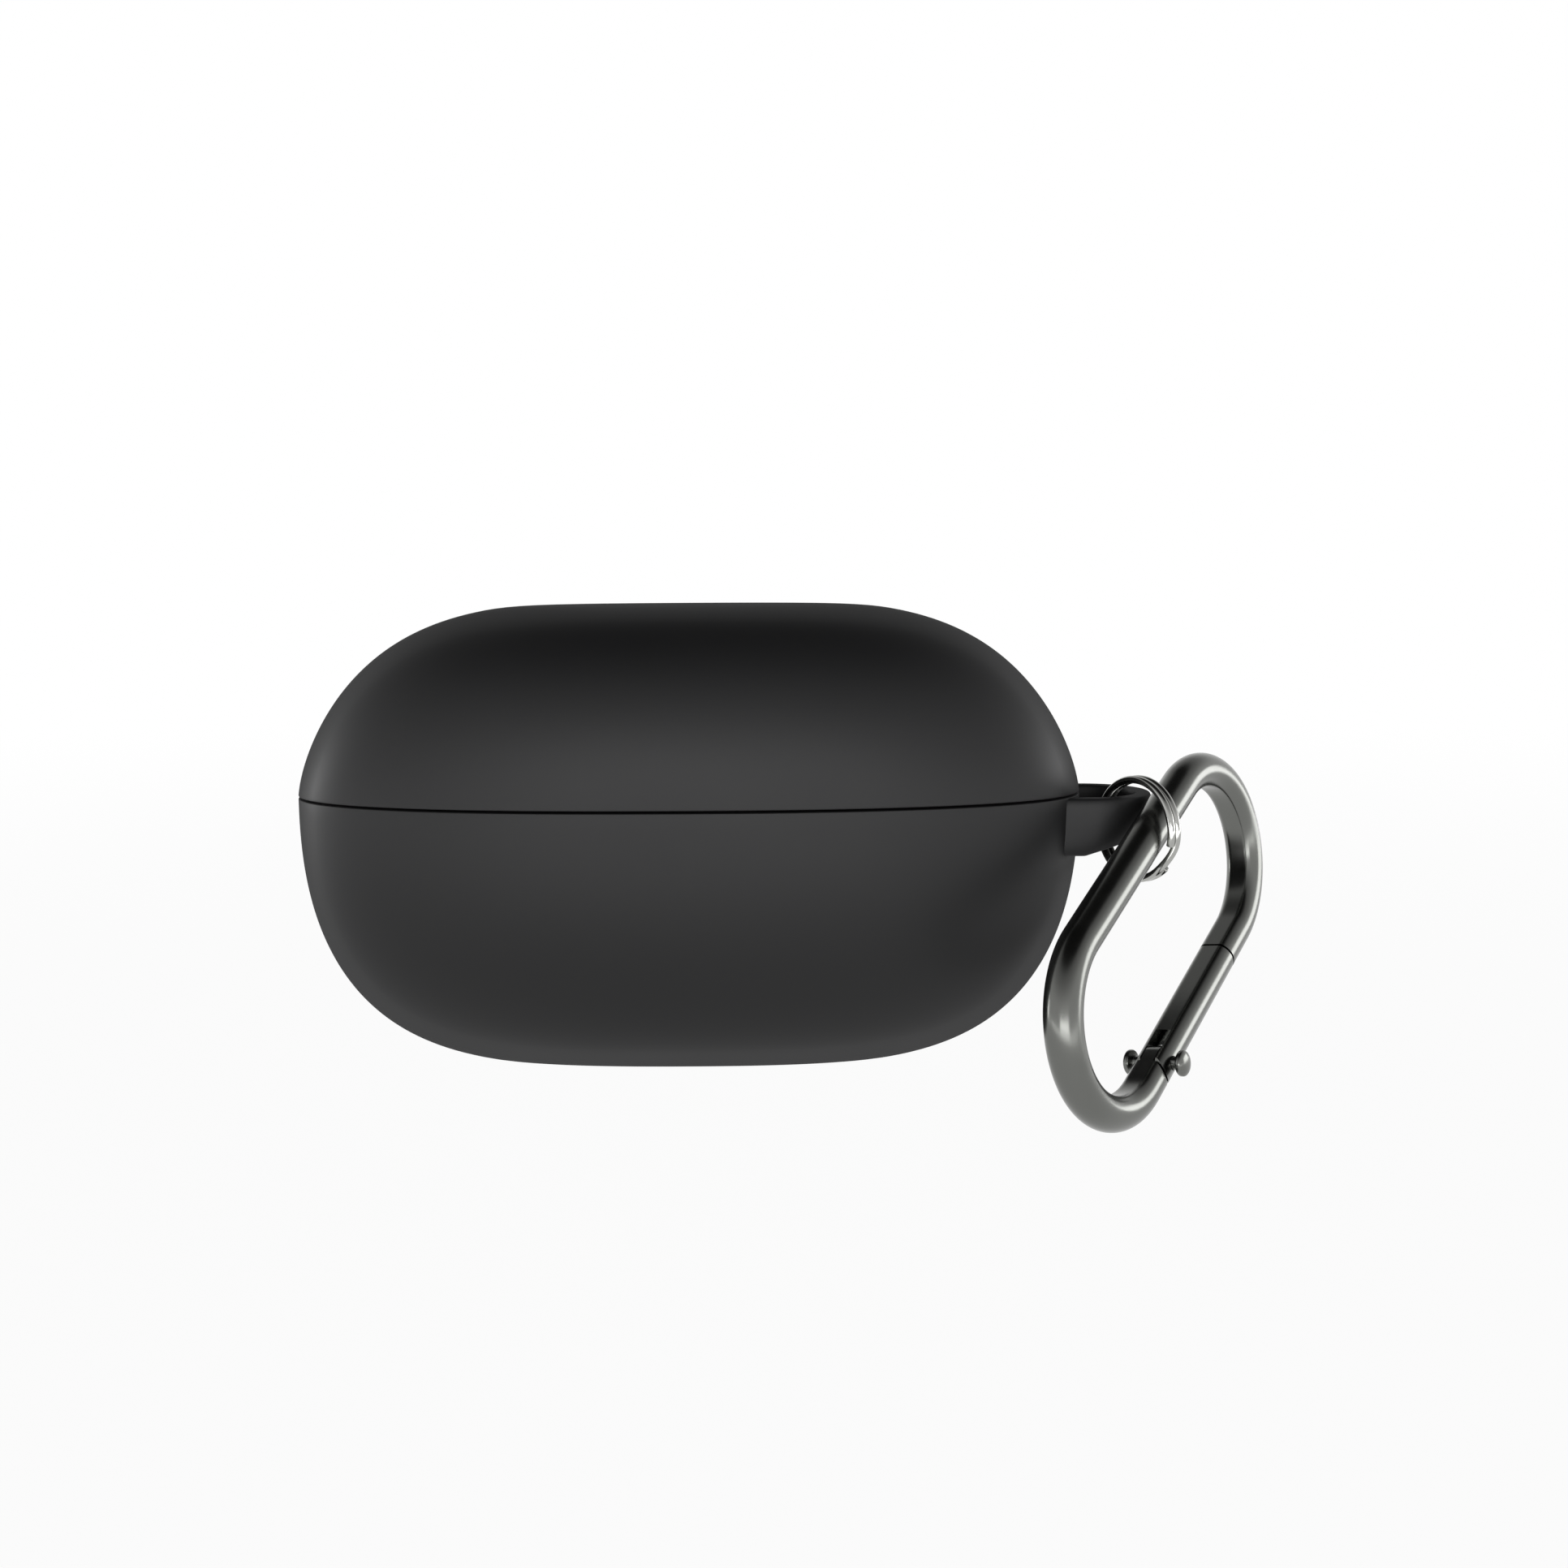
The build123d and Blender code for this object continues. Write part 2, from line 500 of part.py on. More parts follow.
# ---- left earbud; the right one is its mirror image ----
BUD_X = -BUD_SPACING / 2
BUD = Plane(origin=(BUD_X, 0, PARTING_HEIGHT), x_dir=(1, 0, 0), z_dir=(0, -1, 0))
BUD_AXIS = Axis((BUD_X, 0, 0), (0, 0, 1))
BOWL_BOTTOM = BUD_CENTRE - BUD_RADIUS
SEAT = BUD_TOP - CAP_THICKNESS
INNER = BUD_RADIUS - BUD_WALL
with BuildPart() as left_bud_shell:
    with BuildSketch(BUD):
        with BuildLine():
            CenterArc((0, BUD_CENTRE), BUD_RADIUS, -90, 90)
            Line((BUD_RADIUS, BUD_CENTRE), (BUD_RADIUS, SEAT))
            RadiusArc((BUD_RADIUS, SEAT), (BUD_RADIUS - 1.2, BUD_TOP), -1.8)
            Line((BUD_RADIUS - 1.2, BUD_TOP), (0, BUD_TOP))
            Line((0, BUD_TOP), (0, BOWL_BOTTOM))
        make_face()
    revolve(axis=BUD_AXIS)
    with BuildSketch(Plane.XY.offset(PARTING_HEIGHT - NOZZLE_END)):
        with Locations((BUD_X, 0)):
            Circle(NOZZLE_RADIUS)
    extrude(amount=NOZZLE_END + BOWL_BOTTOM + 1)
    with BuildSketch(BUD):
        with BuildLine():
            CenterArc((0, BUD_CENTRE), INNER, -90, 90)
            Line((INNER, BUD_CENTRE), (INNER, SEAT - 1.6))
            Line((INNER, SEAT - 1.6), (CAP_RADIUS - 0.8, SEAT - 0.4))
            Line((CAP_RADIUS - 0.8, SEAT - 0.4), (CAP_RADIUS - 0.8, SEAT))
            Line((CAP_RADIUS - 0.8, SEAT), (CAP_RADIUS, SEAT))
            Line((CAP_RADIUS, SEAT), (CAP_RADIUS, BUD_TOP))
            Line((CAP_RADIUS, BUD_TOP), (0, BUD_TOP))
            Line((0, BUD_TOP), (0, BUD_CENTRE - INNER))
        make_face()
    revolve(axis=BUD_AXIS, mode=Mode.SUBTRACT)
    with BuildSketch(Plane.XY.offset(PARTING_HEIGHT - NOZZLE_END)):
        with Locations((BUD_X, 0)):
            Circle(NOZZLE_BORE)
    extrude(amount=NOZZLE_END, mode=Mode.SUBTRACT)
    with BuildSketch(Plane.XY.offset(PARTING_HEIGHT - CONTACT_END)):
        with Locations((-PIN_X, PIN_Y), (-PIN_X, -PIN_Y)):
            Circle(CONTACT_RADIUS)
    extrude(amount=CONTACT_LENGTH, mode=Mode.SUBTRACT)

with BuildPart() as left_bud_cap:
    with BuildSketch(Plane.XY.offset(PARTING_HEIGHT + SEAT)):
        with Locations((BUD_X, 0)):
            Circle(CAP_RADIUS)
    extrude(amount=CAP_THICKNESS + CAP_PROUD)
    fillet(left_bud_cap.edges().group_by(Axis.Z)[-1], CAP_EDGE)

with BuildPart() as left_bud_tip:
    with BuildSketch(BUD):
        with BuildLine():
            foot = -(NOZZLE_END + TIP_OVERHANG)
            wide = foot + TIP_SHOULDER
            rim = foot + TIP_LENGTH
            Polyline((NOZZLE_RADIUS, rim - 0.8), (NOZZLE_RADIUS, -NOZZLE_END), (NOZZLE_BORE, -NOZZLE_END),
                     (NOZZLE_BORE, foot), (NOZZLE_BORE + 0.8, foot))
            outer = ThreePointArc((NOZZLE_BORE + 0.8, foot), (TIP_RADIUS - 0.75, foot + TIP_ROLL),
                                  (TIP_RADIUS, wide))
            Polyline(outer @ 1, (TIP_RADIUS - 0.3, rim), (TIP_RADIUS - TIP_WALL - 0.2, rim - 0.2),
                     (TIP_RADIUS - TIP_WALL, wide))
            inner = ThreePointArc((TIP_RADIUS - TIP_WALL, wide),
                                  (TIP_RADIUS - 2 * TIP_WALL, foot + TIP_ROLL + TIP_WALL),
                                  (NOZZLE_RADIUS + TIP_WALL, foot + 2 * TIP_WALL))
            Polyline(inner @ 1, (NOZZLE_RADIUS + TIP_WALL, rim - 0.8), (NOZZLE_RADIUS, rim - 0.8))
        make_face()
    revolve(axis=BUD_AXIS)

with BuildPart() as left_bud_mesh:
    with BuildSketch(Plane.XY.offset(PARTING_HEIGHT - NOZZLE_END)):
        with Locations((BUD_X, 0)):
            Circle(NOZZLE_BORE)
    extrude(amount=0.3)

with BuildPart() as left_bud_driver:
    with BuildSketch(Plane.XY.offset(PARTING_HEIGHT - 4.5)):
        with Locations((BUD_X, 0)):
            Circle(DRIVER_RADIUS)
    extrude(amount=DRIVER_HEIGHT)

with BuildPart() as left_bud_cell:
    with BuildSketch(Plane.XY.offset(PARTING_HEIGHT - 4.5 + DRIVER_HEIGHT + 0.2)):
        with Locations((BUD_X, 0)):
            Circle(CELL_RADIUS)
    extrude(amount=CELL_HEIGHT)


def bud_contact(y):
    """Charging contact of the left earbud, flush with its hole in the shell."""
    with BuildPart() as contact:
        with BuildSketch(Plane.XY.offset(PARTING_HEIGHT - CONTACT_END)):
            with Locations((-PIN_X, y)):
                Circle(CONTACT_RADIUS)
        extrude(amount=CONTACT_LENGTH)
    return contact.part


with BuildPart() as left_bud_contact_front:
    add(bud_contact(-PIN_Y))

with BuildPart() as left_bud_contact_rear:
    add(bud_contact(PIN_Y))

with BuildPart() as right_bud_shell:
    mirror(left_bud_shell.part, about=Plane.YZ)

with BuildPart() as right_bud_cap:
    mirror(left_bud_cap.part, about=Plane.YZ)

with BuildPart() as right_bud_tip:
    mirror(left_bud_tip.part, about=Plane.YZ)

with BuildPart() as right_bud_mesh:
    mirror(left_bud_mesh.part, about=Plane.YZ)

with BuildPart() as right_bud_driver:
    mirror(left_bud_driver.part, about=Plane.YZ)

with BuildPart() as right_bud_cell:
    mirror(left_bud_cell.part, about=Plane.YZ)

with BuildPart() as right_bud_contact_front:
    mirror(left_bud_contact_front.part, about=Plane.YZ)

with BuildPart() as right_bud_contact_rear:
    mirror(left_bud_contact_rear.part, about=Plane.YZ)

# ---- split ring: two turns of round wire side by side, threaded on the strap ----
BEND_RADIUS = STRAP_WIDTH / 2 - STRAP_THICKNESS / 2
BEND_X = STRAP_TIP - STRAP_WIDTH / 2
RING_X = BEND_X + BEND_RADIUS * sin(radians(RING_SEAT)) + RING_PULL * sin(radians(RING_TURN))
RING_Y = -BEND_RADIUS * cos(radians(RING_SEAT)) - RING_PULL * cos(radians(RING_TURN))
RING_Z = BASE_RIM - RING_DROP
RING = Plane(origin=(RING_X, RING_Y, RING_Z), x_dir=(0, 0, 1),
             z_dir=(cos(radians(RING_TURN)), sin(radians(RING_TURN)), 0))
with BuildPart() as ring_blank:
    with BuildSketch(Plane.XZ):
        with Locations((RING_OUTER_RADIUS - RING_WIRE / 2, RING_PITCH / 2),
                       (RING_OUTER_RADIUS - RING_WIRE / 2, -RING_PITCH / 2)):
            Circle(RING_WIRE / 2)
    revolve(axis=Axis.Z)
    with Locations((0, RING_OUTER_RADIUS - RING_WIRE / 2, RING_WIRE)):
        Box(RING_SPLIT, 2 * RING_WIRE, 2 * RING_WIRE - 0.2, mode=Mode.SUBTRACT)

with BuildPart() as split_ring:
    with Locations(RING):
        add(ring_blank.part)

# ---- carabiner, drawn flat: +Y towards its top, +X towards its gate ----
DOWN = Vector(*CARABINER_DOWN).normalized()
FACE = DOWN.cross(Vector(*CARABINER_ACROSS)).normalized()
GATEWARD = FACE.cross(DOWN)
SPINE_MIDDLE = Vector(RING_X, RING_Y, RING_Z) + Vector(*SPINE_FROM_RING)
CARABINER_CENTRE = SPINE_MIDDLE + GATEWARD * (CARABINER_WIDTH / 2)
CARABINER = Plane(origin=CARABINER_CENTRE, x_dir=GATEWARD, z_dir=FACE)
GATE_X = CARABINER_WIDTH / 2
ARC_Y = CARABINER_STRAIGHT / 2
PIVOT = (GATE_X, -GATE_PIVOT)
GATE_SWEEP = GATE_TOP + GATE_PIVOT


def rod_section(x, y, way):
    """Rod section with its flat towards the carabiner's inside, square to the rod at (x, y)."""
    with BuildSketch(Plane(origin=(x, y, 0), x_dir=(1, 0, 0), z_dir=(0, way, 0))) as section:
        Circle(ROD_RADIUS)
        with Locations((-ROD_FLAT, 0)):
            Rectangle(ROD_RADIUS + ROD_FLAT, 2 * ROD_RADIUS, align=(Align.MIN, Align.CENTER),
                      mode=Mode.INTERSECT)
    return section.sketch


with BuildPart() as body_blank:
    with BuildLine() as rod_path:
        Line((GATE_X, GATE_TOP - 0.4), (GATE_X, ARC_Y))
        CenterArc((0, ARC_Y), GATE_X, 0, 180)
        Line((-GATE_X, ARC_Y), (-GATE_X, -ARC_Y))
        CenterArc((0, -ARC_Y), GATE_X, 180, 180)
        Line((GATE_X, -ARC_Y), (GATE_X, -GATE_PIVOT - GATE_TAIL - GATE_SEAM))
    sweep(sections=rod_section(GATE_X, GATE_TOP - 0.4, 1), path=rod_path.line)
    with BuildSketch(Plane.XY.offset(-TONGUE_THICKNESS / 2)):
        with Locations(PIVOT):
            Circle(TONGUE_RADIUS)
            Rectangle(2 * TONGUE_RADIUS, GATE_TAIL + 1.4, align=(Align.CENTER, Align.MAX))
    extrude(amount=TONGUE_THICKNESS)
    with BuildSketch(Plane.XY.offset(-ROD_RADIUS)):
        with Locations(PIVOT):
            Circle(GATE_SWEEP)
        with Locations((GATE_X, GATE_TOP)):
            Rectangle(4 * ROD_RADIUS, 4, mode=Mode.INTERSECT)
    extrude(amount=2 * ROD_RADIUS, mode=Mode.SUBTRACT)
    with BuildSketch(Plane.XY.offset(-0.6)):
        with Locations((GATE_X - 0.2, GATE_TOP + 0.4)):
            Rectangle(1.4, 1.3, align=(Align.MIN, Align.MAX))
    extrude(amount=1.2)
    with BuildSketch(Plane.XY.offset(-TONGUE_THICKNESS)):
        with Locations(PIVOT):
            Circle(RIVET_RADIUS)
    extrude(amount=2 * TONGUE_THICKNESS, mode=Mode.SUBTRACT)

with BuildPart() as gate_blank:
    extrude(rod_section(GATE_X, -GATE_PIVOT - GATE_TAIL, 1), amount=GATE_SWEEP + GATE_TAIL)
    with BuildSketch(Plane.XY.offset(-ROD_RADIUS)):
        with Locations(PIVOT):
            Circle(GATE_SWEEP - GATE_SEAM)
        with Locations((GATE_X, -GATE_PIVOT)):
            Rectangle(4 * ROD_RADIUS, 2 * GATE_SWEEP, align=(Align.CENTER, Align.MIN), mode=Mode.INTERSECT)
        with Locations(PIVOT):
            Circle(GATE_TAIL)
    extrude(amount=2 * ROD_RADIUS, mode=Mode.INTERSECT)
    with BuildSketch(Plane.XY.offset(-SLOT_WIDTH / 2)):
        with Locations((GATE_X, -GATE_PIVOT + SLOT_DEPTH)):
            Rectangle(4 * ROD_RADIUS, 2 * SLOT_DEPTH, align=(Align.CENTER, Align.MAX))
    extrude(amount=SLOT_WIDTH, mode=Mode.SUBTRACT)
    with BuildSketch(Plane.XY.offset(-0.8)):
        with Locations((GATE_X - 0.45, GATE_TOP + 0.5)):
            Rectangle(4, 1.75, align=(Align.MIN, Align.MAX))
    extrude(amount=1.6, mode=Mode.SUBTRACT)
    with BuildSketch(Plane.XY.offset(-2 * ROD_RADIUS)):
        with Locations(PIVOT):
            Circle(RIVET_RADIUS + RIVET_CLEARANCE)
    extrude(amount=4 * ROD_RADIUS, mode=Mode.SUBTRACT)
    with BuildSketch(Plane.XZ.offset(GATE_PIVOT - SLOT_DEPTH)):
        with Locations((GATE_X, 0)):
            Circle(SPRING_RADIUS)
    extrude(amount=-(PLUNGER_LENGTH + SPRING_LENGTH - SLOT_DEPTH + TONGUE_RADIUS + RIVET_CLEARANCE),
            mode=Mode.SUBTRACT)

with BuildPart() as carabiner_body:
    with Locations(CARABINER):
        add(body_blank.part)

with BuildPart() as carabiner_gate:
    with Locations(CARABINER):
        add(gate_blank.part)

RIVET_HALF = ROD_RADIUS + RIVET_NECK
with BuildPart() as rivet_blank:
    with BuildSketch(Plane.XY.offset(-RIVET_HALF)):
        with Locations(PIVOT):
            Circle(RIVET_RADIUS)
    extrude(amount=2 * RIVET_HALF)
    with BuildSketch(Plane.XY.offset(RIVET_HALF), Plane.XY.offset(-RIVET_HALF - RIVET_HEAD_HEIGHT)):
        with Locations(PIVOT):
            Circle(RIVET_HEAD_RADIUS)
    extrude(amount=RIVET_HEAD_HEIGHT)
    head_edges = rivet_blank.edges().filter_by(GeomType.CIRCLE)
    fillet(head_edges.filter_by(lambda edge: edge.radius > RIVET_RADIUS + RIVET_CLEARANCE), RIVET_HEAD_ROUND)

with BuildPart() as gate_rivet:
    with Locations(CARABINER):
        add(rivet_blank.part)

SPRING_FOOT = -GATE_PIVOT + TONGUE_RADIUS + RIVET_CLEARANCE
with BuildPart() as plunger_blank:
    with BuildSketch(Plane.XZ.offset(-SPRING_FOOT)):
        with Locations((GATE_X, 0)):
            Circle(SLOT_WIDTH / 2 - RIVET_CLEARANCE)
    extrude(amount=-PLUNGER_LENGTH)

with BuildPart() as gate_plunger:
    with Locations(CARABINER):
        add(plunger_blank.part)

with BuildPart() as spring_blank:
    with BuildSketch(Plane.XZ.offset(-SPRING_FOOT - PLUNGER_LENGTH)):
        with Locations((GATE_X, 0)):
            Circle(SPRING_RADIUS)
            Circle(SPRING_RADIUS - SPRING_WALL, mode=Mode.SUBTRACT)
    extrude(amount=-SPRING_LENGTH)

with BuildPart() as gate_spring:
    with Locations(CARABINER):
        add(spring_blank.part)

# ---- one STEP file for each piece ----
PIECES = {
    "cover_base": cover_base, "cover_lid": cover_lid,
    "case_base_shell": case_base_shell, "case_lid_shell": case_lid_shell,
    "cradle": cradle, "lid_liner": lid_liner,
    "hinge_base_leaf": hinge_base_leaf, "hinge_lid_leaf": hinge_lid_leaf, "hinge_pin": hinge_pin,
    "base_magnet_left": base_magnet_left, "base_magnet_right": base_magnet_right,
    "lid_magnet_left": lid_magnet_left, "lid_magnet_right": lid_magnet_right,
    "battery": battery, "main_board": main_board,
    "board_screw_left": board_screw_left, "board_screw_right": board_screw_right,
    "usb_socket": usb_socket, "usb_tongue": usb_tongue,
    "pogo_left_front": pogo_left_front, "pogo_left_rear": pogo_left_rear,
    "pogo_right_front": pogo_right_front, "pogo_right_rear": pogo_right_rear,
    "left_bud_shell": left_bud_shell, "left_bud_cap": left_bud_cap, "left_bud_tip": left_bud_tip,
    "left_bud_mesh": left_bud_mesh, "left_bud_driver": left_bud_driver, "left_bud_cell": left_bud_cell,
    "left_bud_contact_front": left_bud_contact_front, "left_bud_contact_rear": left_bud_contact_rear,
    "right_bud_shell": right_bud_shell, "right_bud_cap": right_bud_cap, "right_bud_tip": right_bud_tip,
    "right_bud_mesh": right_bud_mesh, "right_bud_driver": right_bud_driver,
    "right_bud_cell": right_bud_cell,
    "right_bud_contact_front": right_bud_contact_front,
    "right_bud_contact_rear": right_bud_contact_rear,
    "split_ring": split_ring,
    "carabiner_body": carabiner_body, "carabiner_gate": carabiner_gate, "gate_rivet": gate_rivet,
    "gate_plunger": gate_plunger, "gate_spring": gate_spring,
}
for name, piece in PIECES.items():
    piece.part.label = name
    export_step(piece.part, f"parts/{name}.step")
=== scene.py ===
# Earbuds charging case in a silicone travel cover, with a strap loop, a split ring and a snap carabiner.
# Frame: metres, +Z up, +X towards the strap loop and +Y towards the hinge, from under the cover's middle.
from math import cos, pi, radians, sin, tan

import bmesh
import bpy
import numpy as np
from mathutils import Matrix, Vector


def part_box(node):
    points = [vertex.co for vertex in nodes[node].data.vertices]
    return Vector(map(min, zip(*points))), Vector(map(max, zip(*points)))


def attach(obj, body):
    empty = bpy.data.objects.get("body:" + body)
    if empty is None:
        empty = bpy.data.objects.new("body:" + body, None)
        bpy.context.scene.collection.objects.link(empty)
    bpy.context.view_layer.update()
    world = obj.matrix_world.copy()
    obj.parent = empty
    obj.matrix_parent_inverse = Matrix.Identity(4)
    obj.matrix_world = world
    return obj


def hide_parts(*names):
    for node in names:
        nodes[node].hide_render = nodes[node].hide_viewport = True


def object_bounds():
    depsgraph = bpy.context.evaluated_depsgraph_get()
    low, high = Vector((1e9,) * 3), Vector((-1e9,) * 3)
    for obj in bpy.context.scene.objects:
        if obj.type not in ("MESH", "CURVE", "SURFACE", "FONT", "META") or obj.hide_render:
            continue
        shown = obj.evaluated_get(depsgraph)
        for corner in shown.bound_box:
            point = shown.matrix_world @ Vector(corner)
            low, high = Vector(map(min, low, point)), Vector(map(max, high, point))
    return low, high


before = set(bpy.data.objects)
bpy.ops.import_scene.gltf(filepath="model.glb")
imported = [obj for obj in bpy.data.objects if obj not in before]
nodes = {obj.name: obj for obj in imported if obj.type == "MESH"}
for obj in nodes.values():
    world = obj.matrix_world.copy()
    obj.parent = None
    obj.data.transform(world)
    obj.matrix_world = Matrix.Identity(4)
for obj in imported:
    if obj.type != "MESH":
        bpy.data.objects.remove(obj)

cad_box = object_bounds()
scene = bpy.context.scene
scene.view_settings.view_transform = "Standard"

# ---- Viewpoint ----
# A camera stands 0.2 m in front of the case and a little above it, and looks down at 7 degrees.  Its lens
# of about 50 mm on a 36 mm frame takes in the case and the hanging carabiner, with white round them.
LOOK_DOWN = 7
ROLL = -0.333
camera = bpy.data.objects.new("camera", bpy.data.cameras.new("camera"))
camera.data.sensor_width = 36
camera.data.lens = 49.43
camera.data.clip_start = 0.01
camera.location = (0.00875, -0.19838, 0.05018)
tilt = Matrix.Rotation(radians(90 - LOOK_DOWN), 3, "X") @ Matrix.Rotation(radians(ROLL), 3, "Z")
camera.rotation_euler = tilt.to_euler()
scene.collection.objects.link(camera)
scene.camera = camera


# ---- Studio: white sweep, soft lamps and light tables ----
# A white floor runs into a white surround.  A broad soft lamp stands in front, one at each side, and three
# light tables lie on the floor.  Little comes from above, so the matt cover darkens towards its top.
def linear(colour):
    """sRGB hex to linear RGBA: a channel c is c / 12.92 below 0.04045, else ((c + 0.055) / 1.055)^2.4."""
    channels = np.array([int(colour[i:i + 2], 16) for i in (1, 3, 5)]) / 255
    curve = np.where(channels <= 0.04045, channels / 12.92, ((channels + 0.055) / 1.055) ** 2.4)
    return (*curve.tolist(), 1.0)


def node(tree, kind, settings=None, links=None):
    """Adds one node: settings go to its properties, or to its sockets if no property has that name."""
    made = tree.nodes.new(kind)
    for key, value in (settings or {}).items():
        if isinstance(key, str) and hasattr(made, key):
            setattr(made, key, value)
        else:
            made.inputs[key].default_value = value
    for key, source in (links or {}).items():
        tree.links.new(source, made.inputs[key])
    return made


def white_rays(tree):
    """1 for a ray from the camera, off a glossy face or through a clear one: these see the white as white."""
    path = node(tree, "ShaderNodeLightPath")
    seen = node(tree, "ShaderNodeMath", {"operation": "MAXIMUM"},
                {0: path.outputs["Is Camera Ray"], 1: path.outputs["Is Glossy Ray"]})
    return node(tree, "ShaderNodeMath", {"operation": "MAXIMUM"},
                {0: seen.outputs[0], 1: path.outputs["Is Transmission Ray"]}).outputs[0]


# Strength of the surround at each sine of the angle above the floor: white up to 21 degrees, half of it
# at 38, about a third at 49 and nearly black from 59 to overhead.  It lights the object at a third of that.
SKY_STOPS = ((0.0, 1.0), (0.36, 1.0), (0.62, 0.5), (0.76, 0.36), (0.86, 0.02))
SKY_FILL = 0.35
world = bpy.data.worlds.new("studio")
world.use_nodes = True
world.node_tree.nodes.clear()
scene.world = world
sky = world.node_tree
way = node(sky, "ShaderNodeTexCoord")
height = node(sky, "ShaderNodeSeparateXYZ", None, {0: way.outputs["Generated"]})
overhead = node(sky, "ShaderNodeValToRGB", None, {0: height.outputs["Z"]})
stops = overhead.color_ramp.elements
for number, (rise, light) in enumerate(SKY_STOPS):
    stop = stops[number] if number < 2 else stops.new(rise)
    stop.position = rise
    stop.color = (light, light, light, 1.0)
dim = node(sky, "ShaderNodeMath", {"operation": "MULTIPLY", 1: SKY_FILL}, {0: overhead.outputs[0]})
fill_light = node(sky, "ShaderNodeBackground", {"Color": linear("#ffffff")}, {"Strength": dim.outputs[0]})
white_sweep = node(sky, "ShaderNodeBackground", {"Color": linear("#ffffff")},
                   {"Strength": overhead.outputs[0]})
surround = node(sky, "ShaderNodeMixShader", None,
                {0: white_rays(sky), 1: fill_light.outputs[0], 2: white_sweep.outputs[0]})
node(sky, "ShaderNodeOutputWorld", None, {"Surface": surround.outputs[0]})


def new_object(name, mesh):
    """Object that holds the mesh, linked to the scene, at the origin."""
    made = bpy.data.objects.new(name, mesh)
    scene.collection.objects.link(made)
    return made


# Matt white paper: it takes the object's soft shadow, and shows as a shade under white near the case,
# rising to white half a metre out.
FLOOR_SIZE = 6.0
FLOOR_DROP = 0.0034    # the carabiner swings 3 mm lower than it hangs at rest
half = FLOOR_SIZE / 2
level = cad_box[0][2] - FLOOR_DROP
floor_mesh = bpy.data.meshes.new("floor")
corners = [(-half, -half, level), (half, -half, level), (half, half, level), (-half, half, level)]
floor_mesh.from_pydata(corners, [], [(0, 1, 2, 3)])
floor = new_object("floor", floor_mesh)
paper = bpy.data.materials.new("white_paper_sweep")
paper.use_nodes = True
paper.node_tree.nodes.clear()
tree = paper.node_tree
place = node(tree, "ShaderNodeTexCoord")
far = node(tree, "ShaderNodeVectorMath", {"operation": "LENGTH"}, {0: place.outputs["Object"]})
share = node(tree, "ShaderNodeMapRange", {"interpolation_type": "SMOOTHSTEP", "From Min": 0.06,
                                          "From Max": 0.45, "To Min": 0.955, "To Max": 1.0},
             {"Value": far.outputs["Value"]})
matt = node(tree, "ShaderNodeBsdfDiffuse", {"Color": linear("#f7f7f7")})
glow = node(tree, "ShaderNodeEmission", {"Color": linear("#ffffff"), "Strength": 1.0})
glowing = node(tree, "ShaderNodeMath", {"operation": "MULTIPLY"}, {0: white_rays(tree), 1: share.outputs[0]})
lit = node(tree, "ShaderNodeMixShader", None, {0: glowing.outputs[0], 1: matt.outputs[0], 2: glow.outputs[0]})
node(tree, "ShaderNodeOutputMaterial", None, {"Surface": lit.outputs[0]})
floor.data.materials.append(paper)


def softbox(name, place, aim, width, height, radiance):
    """Rectangular area lamp: its power is radiance x pi x area, so the radiance is what a mirror shows."""
    lamp = bpy.data.lights.new(name, "AREA")
    lamp.shape = "RECTANGLE"
    lamp.size = width
    lamp.size_y = height
    lamp.energy = radiance * pi * width * height
    made = bpy.data.objects.new(name, lamp)
    scene.collection.objects.link(made)
    made.location = place
    made.rotation_euler = (Vector(aim) - Vector(place)).to_track_quat("-Z", "Y").to_euler()
    made.visible_camera = False


CASE_MIDDLE = (0.0, 0.0, 0.02)
TABLE_LEVEL = level + 0.0005
softbox("lamp_front", (0.0, -1.0, 0.03), CASE_MIDDLE, 0.9, 0.26, 4.4)
softbox("lamp_left", (-0.7, 0.18, 0.02), CASE_MIDDLE, 0.2, 0.26, 7.0)
softbox("lamp_right", (0.7, 0.18, 0.03), CASE_MIDDLE, 0.4, 0.30, 4.0)
softbox("lamp_table", (0.0, -0.33, TABLE_LEVEL), (0.0, -0.33, 1.0), 1.2, 0.42, 2.4)
softbox("lamp_table_left", (-0.5, 0.1, TABLE_LEVEL), (-0.5, 0.1, 1.0), 0.4, 0.9, 2.4)
softbox("lamp_table_right", (0.5, 0.1, TABLE_LEVEL), (0.5, 0.1, 1.0), 0.4, 0.9, 2.4)

# ---- Silicone cover: lid and base ----
# A soft matt black silicone skin 1.6 mm thick, moulded in two cups that stretch over the charging case.
# Its form is a pebble: an oval in plan that shrinks towards the flat top and underside.
MM = 0.001


def middle(name):
    """Middle of a modelled piece's box, in millimetres."""
    low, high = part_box(name)
    return (np.array(low) + np.array(high)) / 2 / MM


PARTING = middle("hinge_pin")[2]
HINGE_Y = middle("hinge_pin")[1]
COVER_HALF_WIDTH = 36.0
COVER_HALF_DEPTH = 14.75
LID_REACH = 17.4
PARTING_GAP = 0.20
COVER_WALL = 1.6
LIP_RADIUS = 0.09
FLAT_SHARE = 0.985
FLAT_EASE = 0.03
LID_POWERS = (1.46, 4.15)
BASE_POWERS = (2.4, 4.0)
DEPTH_POWER = 2.6
PLAN_POWER = 2.4


